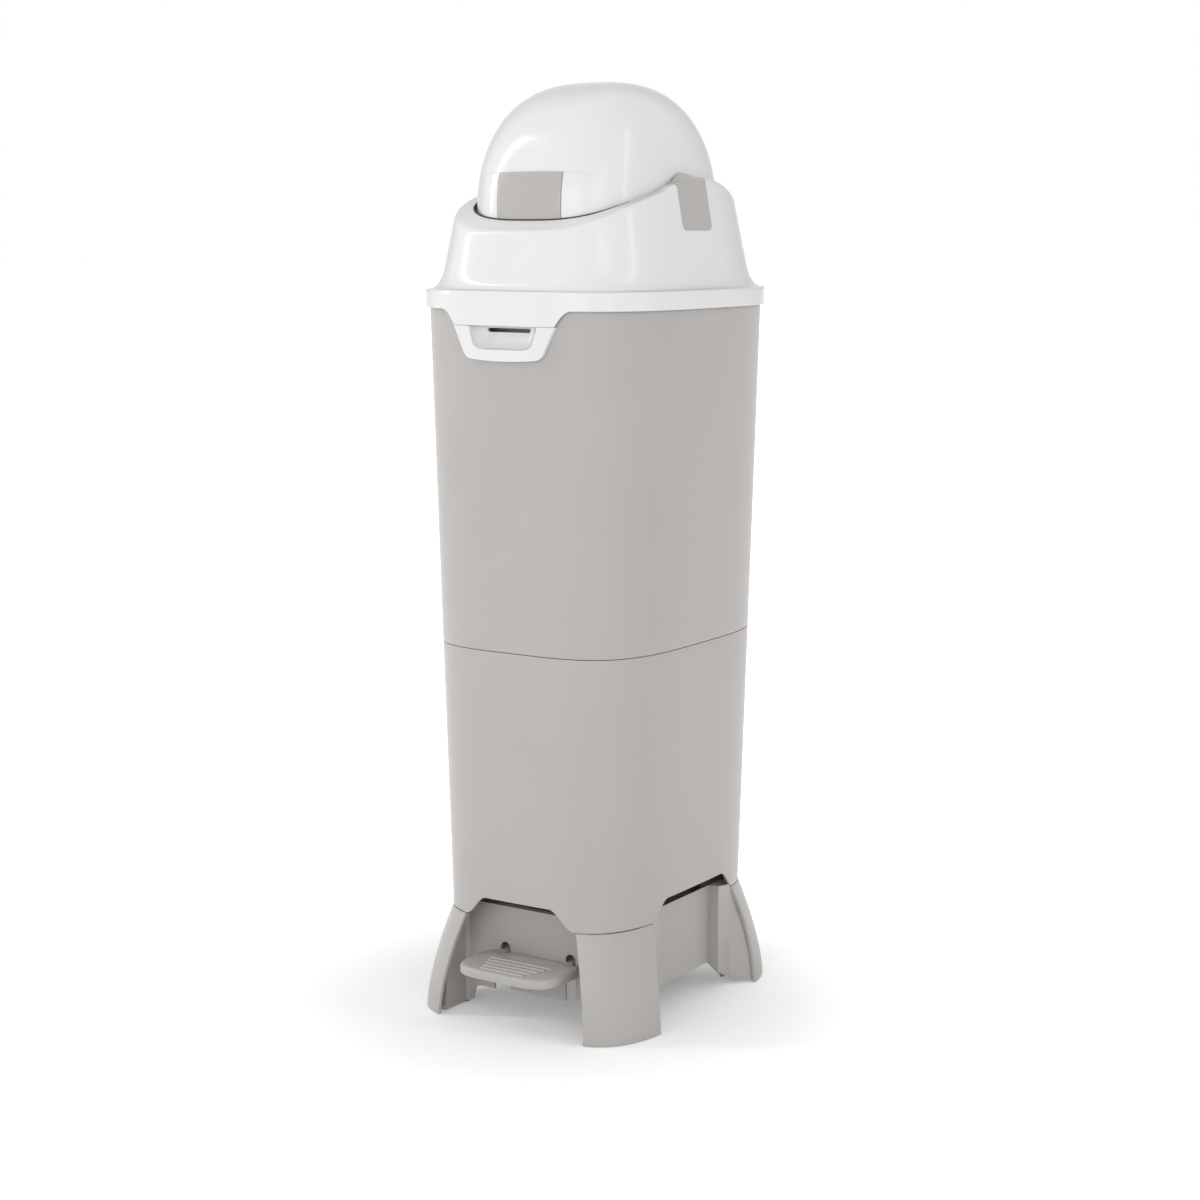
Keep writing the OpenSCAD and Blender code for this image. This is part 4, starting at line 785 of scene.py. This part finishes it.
def with_ends(low, high, edge, count):
    """Values from low to high, crowded over a quarter round's width at both ends, and that round's rise from
    0 to 1 at each of them."""
    ends = np.linspace(0, 1, 7)
    rise = np.sqrt(1 - (1 - ends) ** 2)
    values = np.concatenate([low + edge * ends, np.linspace(low + edge, high - edge, count)[1:-1],
                             high - edge * ends[::-1]])
    return values, np.concatenate([rise, np.ones(count - 2), rise[::-1]])


def band(x_from, x_to, fade=None, proud=1.8, low=-7.5, up=16.0, edge=0.7, sunk=0.5, sunk_faded=0.05):
    """A strip standing proud of the drum's front between two angles about the pivot. Its edges are quarter
    rounds, but past the fade's start it sinks into the drum along half a cosine."""
    angle, rise = with_ends(low, up, math.degrees(edge / DRUM_R), 26)
    x, side = with_ends(x_from, x_to, edge, 60)
    fading = np.zeros(len(x))
    if fade is not None:
        side[len(x) // 2:] = 1
        fading = smoothed((x - fade) / (x_to - fade))
    buried = sunk + (sunk_faded - sunk) * fading
    radius = drum_radius(x, (proud * (1 - fading) + buried) * side * rise[:, None] - buried)
    a = np.radians(angle)[:, None]
    y, z = -radius * np.cos(a), PIVOT + radius * np.sin(a)
    return sheet_of(np.stack([np.broadcast_to(x, radius.shape), y, z], -1))


right_band = band(37.15, 76, fade=46)
bands = joined(right_band, turned(right_band, mirror_x=True))
piece("dome_drum", "dome", WHITE_WITH_PAINTED_SHADE, dome(), ["dome_shell"], thick=WALL, bevel=0.5)
piece("dome_lip", "dome", WHITE_WITH_PAINTED_SHADE, mouth_lip(), closed=True)
piece("dome_band", "dome", WHITE_WITH_PAINTED_SHADE, bands, split=0)
piece("dome_panel", "dome", CAP_GREY, band(-36.95, 36.95), ["dome_badge"], split=0)


# Pivot caps

def pivot_cap(columns=81, middle=2, half=27, below=22, corner=6, proud=0.8, fold_round=3, inner_x=97,
              arch_r=29.2, arch_up=4.5):
    """A sheet that climbs the leaning wall between straight sides, from a lower edge with rounded corners to
    the rim, folds over it along an arc, and runs in to an arch beside the drum."""
    y = middle + half * np.sin(np.linspace(-np.pi / 2, np.pi / 2, columns))
    off = np.abs(y - middle)
    low = PIVOT - below + corner - np.sqrt(corner ** 2 - np.clip(off - (half - corner), 0, corner) ** 2)
    rim = rim_height(y) + proud

    def wall(z):
        return np.stack([FLANGE[0] - COVE_IN - (z - COVE_TOP) * NECK_LEAN + proud, y, z], -1)
    arch = np.maximum(rim, PIVOT + arch_up + np.sqrt(np.clip(arch_r ** 2 - off ** 2, 0, None)))
    inside = np.stack([np.full(columns, float(inner_x)), y, arch], -1)
    fold = wall(rim)
    along = inside - fold
    along /= np.linalg.norm(along, axis=1)[:, None]
    rows = [wall(low + (rim - fold_round - low) * share) for share in np.linspace(0, 1, 14)]
    rows += bezier(rows[-1], fold, fold + fold_round * along, 8)[1:]
    start = rows[-1]
    rows += [start + (inside - start) * share for share in np.linspace(0, 1, 10)[1:]]
    return sheet_of(rows)


right_cap = pivot_cap()
piece("pivot_cap_right", "head", CAP_GREY, right_cap, ["right_pivot_cap"], thick=2, bevel=0.6)
piece("pivot_cap_left", "head", CAP_GREY, turned(right_cap, mirror_x=True), ["left_pivot_cap"],
      thick=2, bevel=0.6)


# Catch

CATCH_TOP = 702.6

# The slot under the tab: its height, half its width and half its own height.
SLOT_Z = 698.4
SLOT_HALF = 25
SLOT_TALL = 2.0


def flange_front(x, deeper=0):
    """Place along the bin of the flange's front at x, or deeper behind it."""
    w, d, n = FLANGE
    return deeper - d * (1 - (np.abs(x) / w) ** n) ** (1 / n)


def catch_outline(low=669.4, side=58.5, corner_x=36, r=11, bow=1.6):
    """The insert's outer edge from the upper left to the upper right: leaning sides, round corners, bowed
    below."""
    turn = np.radians(np.linspace(25, 90, 14))
    right = np.stack([corner_x + r * np.cos(turn), low + bow + r * (1 - np.sin(turn))], -1)
    x = np.linspace(corner_x, -corner_x, 19)[1:-1]
    below = np.stack([x, low + bow * (x / corner_x) ** 2], -1)
    path = [[[side, CATCH_TOP]], right, below, right[::-1] * [-1, 1], [[-side, CATCH_TOP]]]
    return np.concatenate(path)[::-1]


def scoop_columns():
    """Places across the scoop as shares of its half width, crowded at the slot's round ends, and half the
    slot's height at each of them."""
    wide = scoop_half(SLOT_Z)
    round_x = SLOT_HALF - SLOT_TALL + SLOT_TALL * np.sin(np.linspace(0, np.pi / 2, 9))
    middle = np.linspace(-round_x[0], round_x[0], 21)[1:-1]
    slot = np.concatenate([-round_x[::-1], middle, round_x]) / wide
    beside = np.linspace(slot[-1], 1, 14)[1:]
    u = np.concatenate([-beside[::-1], slot, beside])
    reach = np.clip((np.abs(u) * wide - (SLOT_HALF - SLOT_TALL)) / SLOT_TALL, 0, 1)
    return u, SLOT_TALL * np.sqrt(1 - reach ** 2)


def scoop(depth=13, behind=3.0, side_power=5, low_power=3, round_power=0.6):
    """The bowl below and above the open slot, whose depth grows from nothing at its edge, and that edge."""
    u, tall = scoop_columns()
    below = [SCOOP_LOW + (SLOT_Z - tall - SCOOP_LOW) * share for share in np.linspace(0, 1, 30)]
    above = [SLOT_Z + tall + (CATCH_TOP - SLOT_Z - tall) * share for share in np.linspace(0, 1, 5)]

    def row(z, deeper=0.0):
        up = (z - SCOOP_LOW) / (CATCH_TOP - SCOOP_LOW)
        x = scoop_half(z) * u
        across = 1 - np.abs(u) ** side_power
        upright = np.clip(1 - (1 - up) ** low_power, 0, 1)
        hollow = depth * across ** round_power * upright ** round_power
        return np.stack([x, flange_front(x, hollow + deeper), z], -1)
    within = np.where(tall > 0, behind, 0.0)
    bowl = joined(sheet_of([row(z) for z in below] + [row(below[-1], within)]),
                  sheet_of([row(above[0], within)] + [row(z) for z in above]))
    rows = np.stack([row(z) for z in below + above])
    return bowl, np.concatenate([rows[::-1, 0], rows[0, 1:-1], rows[:, -1]])[:, [0, 2]]


def catch(edge=0.5, half=55, still_above=694, over=25, tuck=4):
    """The white insert under the tab: the scoop, and a U-shaped band round it, level with the flange. Its
    outer edge is rounded as it widens, and tucked in behind."""
    bowl, inner = scoop()
    path = catch_outline()
    run, inner_run = run_of(path), run_of(inner)
    along = inner_run / inner_run[-1] * run[-1]
    outer = np.stack([np.interp(along, run, path[:, axis]) for axis in (0, 1)], -1)

    def row(xz, deeper=0):
        return np.stack([xz[:, 0], flange_front(xz[:, 0], deeper), xz[:, 1]], -1)
    rows = [row(inner + (outer - inner) * share) for share in np.linspace(0, 1, 10)]
    for a in np.linspace(0, np.pi / 2, 5)[1:]:
        grow = edge * math.sin(a)
        wider = outer[:, 0] * (1 + grow / half)
        lower = outer[:, 1] + grow * np.minimum((outer[:, 1] - still_above) / over, 0)
        rows.append(row(np.stack([wider, lower], -1), edge * (1 - math.cos(a))))
    rows.append(rows[-1] + [0, tuck, 0])
    return joined(bowl, sheet_of(rows, flip=True))


piece("catch_insert", "bin", WHITE_WITH_PAINTED_SHADE, catch(), ["front_catch"], thick=1.6, split=40)


# Pedal

PEDAL_TOP = 64.2

# The ribs of the tread: how many, the first one's place and half length, what is added to both for the next,
# and a rib's profile as widths against its own and heights above the pedal, up to a ridge.
RIBS = 5
RIB_FIRST = (-176, 26)
RIB_STEP = (8.4, 2.9)
RIB_PROFILE = ((1.12, -0.4), (1.12, 0.0), (1.0, 0.55), (0.86, 0.9), (0.6, 1.06))
RIB_RIDGE = 1.1


def pedal_curve(half=58.5, power=2 / 4.5, middle=-130, reach=55, back=(52, -117), points=240, fine=5,
                soft=6, side=20):
    """The pedal's outline at equal steps: straight back, cut back corners, bowed front, all smoothed by a
    bell curve that reaches some fine steps to each side."""
    a = np.linspace(np.pi, 0, 400)
    bow = np.stack([half * np.sign(np.cos(a)) * np.abs(np.cos(a)) ** power,
                    middle - reach * np.abs(np.sin(a)) ** power], -1)
    path = np.concatenate([bow, [back, [-back[0], back[1]]], bow[:1]])
    run = run_of(path)
    at = np.linspace(0, run[-1], fine * points + 1)[:-1]
    bell = np.exp(-0.5 * (np.arange(-side, side + 1) / soft) ** 2)
    bell /= bell.sum()
    smooth = []
    for axis in (0, 1):
        line = np.interp(at, run, path[:, axis])
        smooth.append(np.convolve(np.concatenate([line[-side:], line, line[:side]]), bell, "valid"))
    return np.stack(smooth, -1)[::fine]


def inset_curve(xy, inset):
    """The same closed curve drawn in along its normals."""
    along = np.roll(xy, -1, 0) - np.roll(xy, 1, 0)
    along /= np.linalg.norm(along, axis=1)[:, None]
    return xy + inset * np.stack([-along[:, 1], along[:, 0]], -1)


def pedal(thick=9.5, shoulder=5.0, drop=2.4, round_low=1.2, middle=(0.0, -148.0)):
    """Rings from the middle of the top over its rounded edge, down the side and back to the middle below."""
    edge, low = pedal_curve(), PEDAL_TOP - thick
    upper, lower = inset_curve(edge, shoulder), inset_curve(edge, round_low)
    rows = [level(middle + (upper - middle) * share, PEDAL_TOP) for share in np.linspace(0, 1, 10)]
    for a in np.linspace(0, np.pi / 2, 10)[1:]:
        outline = inset_curve(edge, shoulder * (1 - math.sin(a)))
        rows.append(level(outline, PEDAL_TOP - drop * (1 - math.cos(a))))
    for a in np.linspace(0, np.pi / 2, 5):
        outline = inset_curve(edge, round_low * (1 - math.cos(a)))
        rows.append(level(outline, low + round_low * (1 - math.sin(a))))
    rows += [level(middle + (lower - middle) * share, low) for share in (0.6, 0)]
    return sheet_of(rows, around=True)


def rib(y, half_length, half=2.0):
    """A low bar with rounded ends and a rounded top, sunk a little into the pedal."""
    a = np.linspace(0, 2 * np.pi, 40, endpoint=False)
    reach = half_length - half
    x, across = half * np.cos(a) + reach * np.sign(np.cos(a)), half * np.sin(a)
    rows = []
    for scale, up in RIB_PROFILE:
        narrower = x - (1 - scale) * half * np.sign(x)
        rows.append(level(np.stack([narrower, y + across * scale], -1), PEDAL_TOP + up))
    rows.append(level(np.stack([np.clip(x, -reach, reach), np.full(len(x), y)], -1), PEDAL_TOP + RIB_RIDGE))
    return sheet_of(rows, around=True)


ribs = [rib(*(first + k * step for first, step in zip(RIB_FIRST, RIB_STEP))) for k in range(RIBS)]
tread = joined(pedal(), *ribs)
piece("pedal_tread", "pedal", FOOT_GREY, tread, ["pedal_plate"], closed=True, split=40)


# Return spring

ROD_X = -93
ROD_Y = -10


def spring(turns=7, radius=3.9, wire=0.5, low=68.35, high=109.45, per_turn=28, sides=10, end_rise=0.2):
    """A round wire wound about the push rod: its rise is slow in the end turns and even between them."""
    u = np.linspace(0, 1, turns * per_turn + 1)
    rise = np.interp(u, [0, 1 / turns, 1 - 1 / turns, 1], [0, end_rise / turns, 1 - end_rise / turns, 1])
    a = -2 * np.pi * turns * u[:, None]
    b = np.linspace(0, 2 * np.pi, sides, endpoint=False)
    out = radius + wire * np.cos(b)
    z = (low + (high - low) * rise)[:, None] + wire * np.sin(b)
    return capped(np.stack([ROD_X + out * np.cos(a), ROD_Y + out * np.sin(a), z], -1))


coil = piece("return_coil", "bin", SPRING_STEEL, spring(), ["return_spring"], closed=True, split=0)
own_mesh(coil)


# Studio

def white_sight(nodes, links):
    """1 for the rays of the camera, of mirror-like surfaces and of clear ones, which see the background."""
    path = nodes.new("ShaderNodeLightPath")
    first, second = nodes.new("ShaderNodeMath"), nodes.new("ShaderNodeMath")
    first.operation = second.operation = "MAXIMUM"
    links.new(path.outputs["Is Camera Ray"], first.inputs[0])
    links.new(path.outputs["Is Glossy Ray"], first.inputs[1])
    links.new(first.outputs[0], second.inputs[0])
    links.new(path.outputs["Is Transmission Ray"], second.inputs[1])
    return second.outputs[0]


def floor_material(middle=(-0.02, -0.07, 0), near=0.12, far=0.70, shade=0.22):
    """Pale matt paint, with a white glow for white_sight's rays that fades to shade near the bin, where the
    shadow shows. Its middle, near and far are in metres."""
    material = bpy.data.materials.new("studio_floor")
    material.use_nodes = True
    nodes, links = material.node_tree.nodes, material.node_tree.links
    nodes.clear()
    matt, glow = nodes.new("ShaderNodeBsdfDiffuse"), nodes.new("ShaderNodeEmission")
    both, out = nodes.new("ShaderNodeAddShader"), nodes.new("ShaderNodeOutputMaterial")
    matt.inputs["Color"].default_value = (0.86, 0.86, 0.86, 1)
    radius = nodes.new("ShaderNodeVectorMath")
    radius.operation = "DISTANCE"
    radius.inputs[1].default_value = middle
    links.new(nodes.new("ShaderNodeTexCoord").outputs["Object"], radius.inputs[0])
    lift = nodes.new("ShaderNodeMath")
    lift.operation = "MULTIPLY"
    fade = map_range(nodes, links, radius.outputs["Value"], near, far, shade, 1, smooth=True)
    links.new(white_sight(nodes, links), lift.inputs[0])
    links.new(fade, lift.inputs[1])
    links.new(lift.outputs[0], glow.inputs["Strength"])
    links.new(matt.outputs[0], both.inputs[0])
    links.new(glow.outputs[0], both.inputs[1])
    links.new(both.outputs[0], out.inputs["Surface"])
    return material


def studio_floor(far=30):
    """A wide pale floor: it keeps the bin's shadow and is white to the camera where it is fully lit."""
    mesh = bpy.data.meshes.new("studio_floor")
    mesh.from_pydata([(-far, -far, 0), (far, -far, 0), (far, far, 0), (-far, far, 0)], [], [(0, 1, 2, 3)])
    mesh.materials.append(floor_material())
    thing = bpy.data.objects.new("studio_floor", mesh)
    bpy.context.scene.collection.objects.link(thing)


def studio_world(lit=0.62):
    """Even soft light all round; the camera and mirror-like surfaces see white."""
    world = bpy.data.worlds.new("studio")
    bpy.context.scene.world = world
    world.use_nodes = True
    nodes, links = world.node_tree.nodes, world.node_tree.links
    ground = nodes["Background"]
    ground.inputs["Color"].default_value = (1, 1, 1, 1)
    links.new(map_range(nodes, links, white_sight(nodes, links), 0, 1, lit, 1), ground.inputs["Strength"])


def softbox(name, place, aim, size, power):
    """A flat lamp facing a point, sizes in metres."""
    lamp = bpy.data.lights.new(name, "AREA")
    lamp.shape, lamp.size, lamp.size_y, lamp.energy = "RECTANGLE", *size, power
    thing = bpy.data.objects.new(name, lamp)
    bpy.context.scene.collection.objects.link(thing)
    a, b = np.array(place, float), np.array(aim, float)
    back = (a - b) / np.linalg.norm(a - b)
    right = np.cross([0, 0, 1], back)
    right /= np.linalg.norm(right)
    up = np.cross(back, right)
    matrix = np.eye(4)
    matrix[:3, 0], matrix[:3, 1], matrix[:3, 2], matrix[:3, 3] = right, up, back, a
    thing.matrix_world = Matrix([list(row) for row in matrix])


def camera():
    """The photograph's own view: 33 degrees to the right of the front, 9 degrees down, from 2.4 m."""
    lens = bpy.data.cameras.new("camera")
    lens.sensor_width, lens.lens = 36, 71.157
    lens.shift_x, lens.shift_y = 0.00126, 0.0003
    lens.clip_start, lens.clip_end = 0.05, 100
    thing = bpy.data.objects.new("camera", lens)
    thing.location = (1.3196, -2.0281, 0.8029)
    thing.rotation_euler = (math.radians(80.892), 0, math.radians(33.049))
    bpy.context.scene.collection.objects.link(thing)
    bpy.context.scene.camera = thing


camera()
studio_floor()
studio_world()
softbox("left_softbox", (-2.55, -1.35, 2.1), (0, 0, 0.9), (0.22, 3.0), 25)
softbox("right_softbox", (2.75, 0.55, 2.1), (0, 0, 0.9), (0.4, 3.0), 9.5)
softbox("front_softbox", (0.4, -3.6, 1.2), (0, 0, 0.5), (2.4, 1.4), 22)
softbox("near_softbox", (2.5, -2.3, 1.6), (0, 0, 0.5), (1.4, 2.2), 12)

bpy.context.scene.view_settings.view_transform = "Standard"
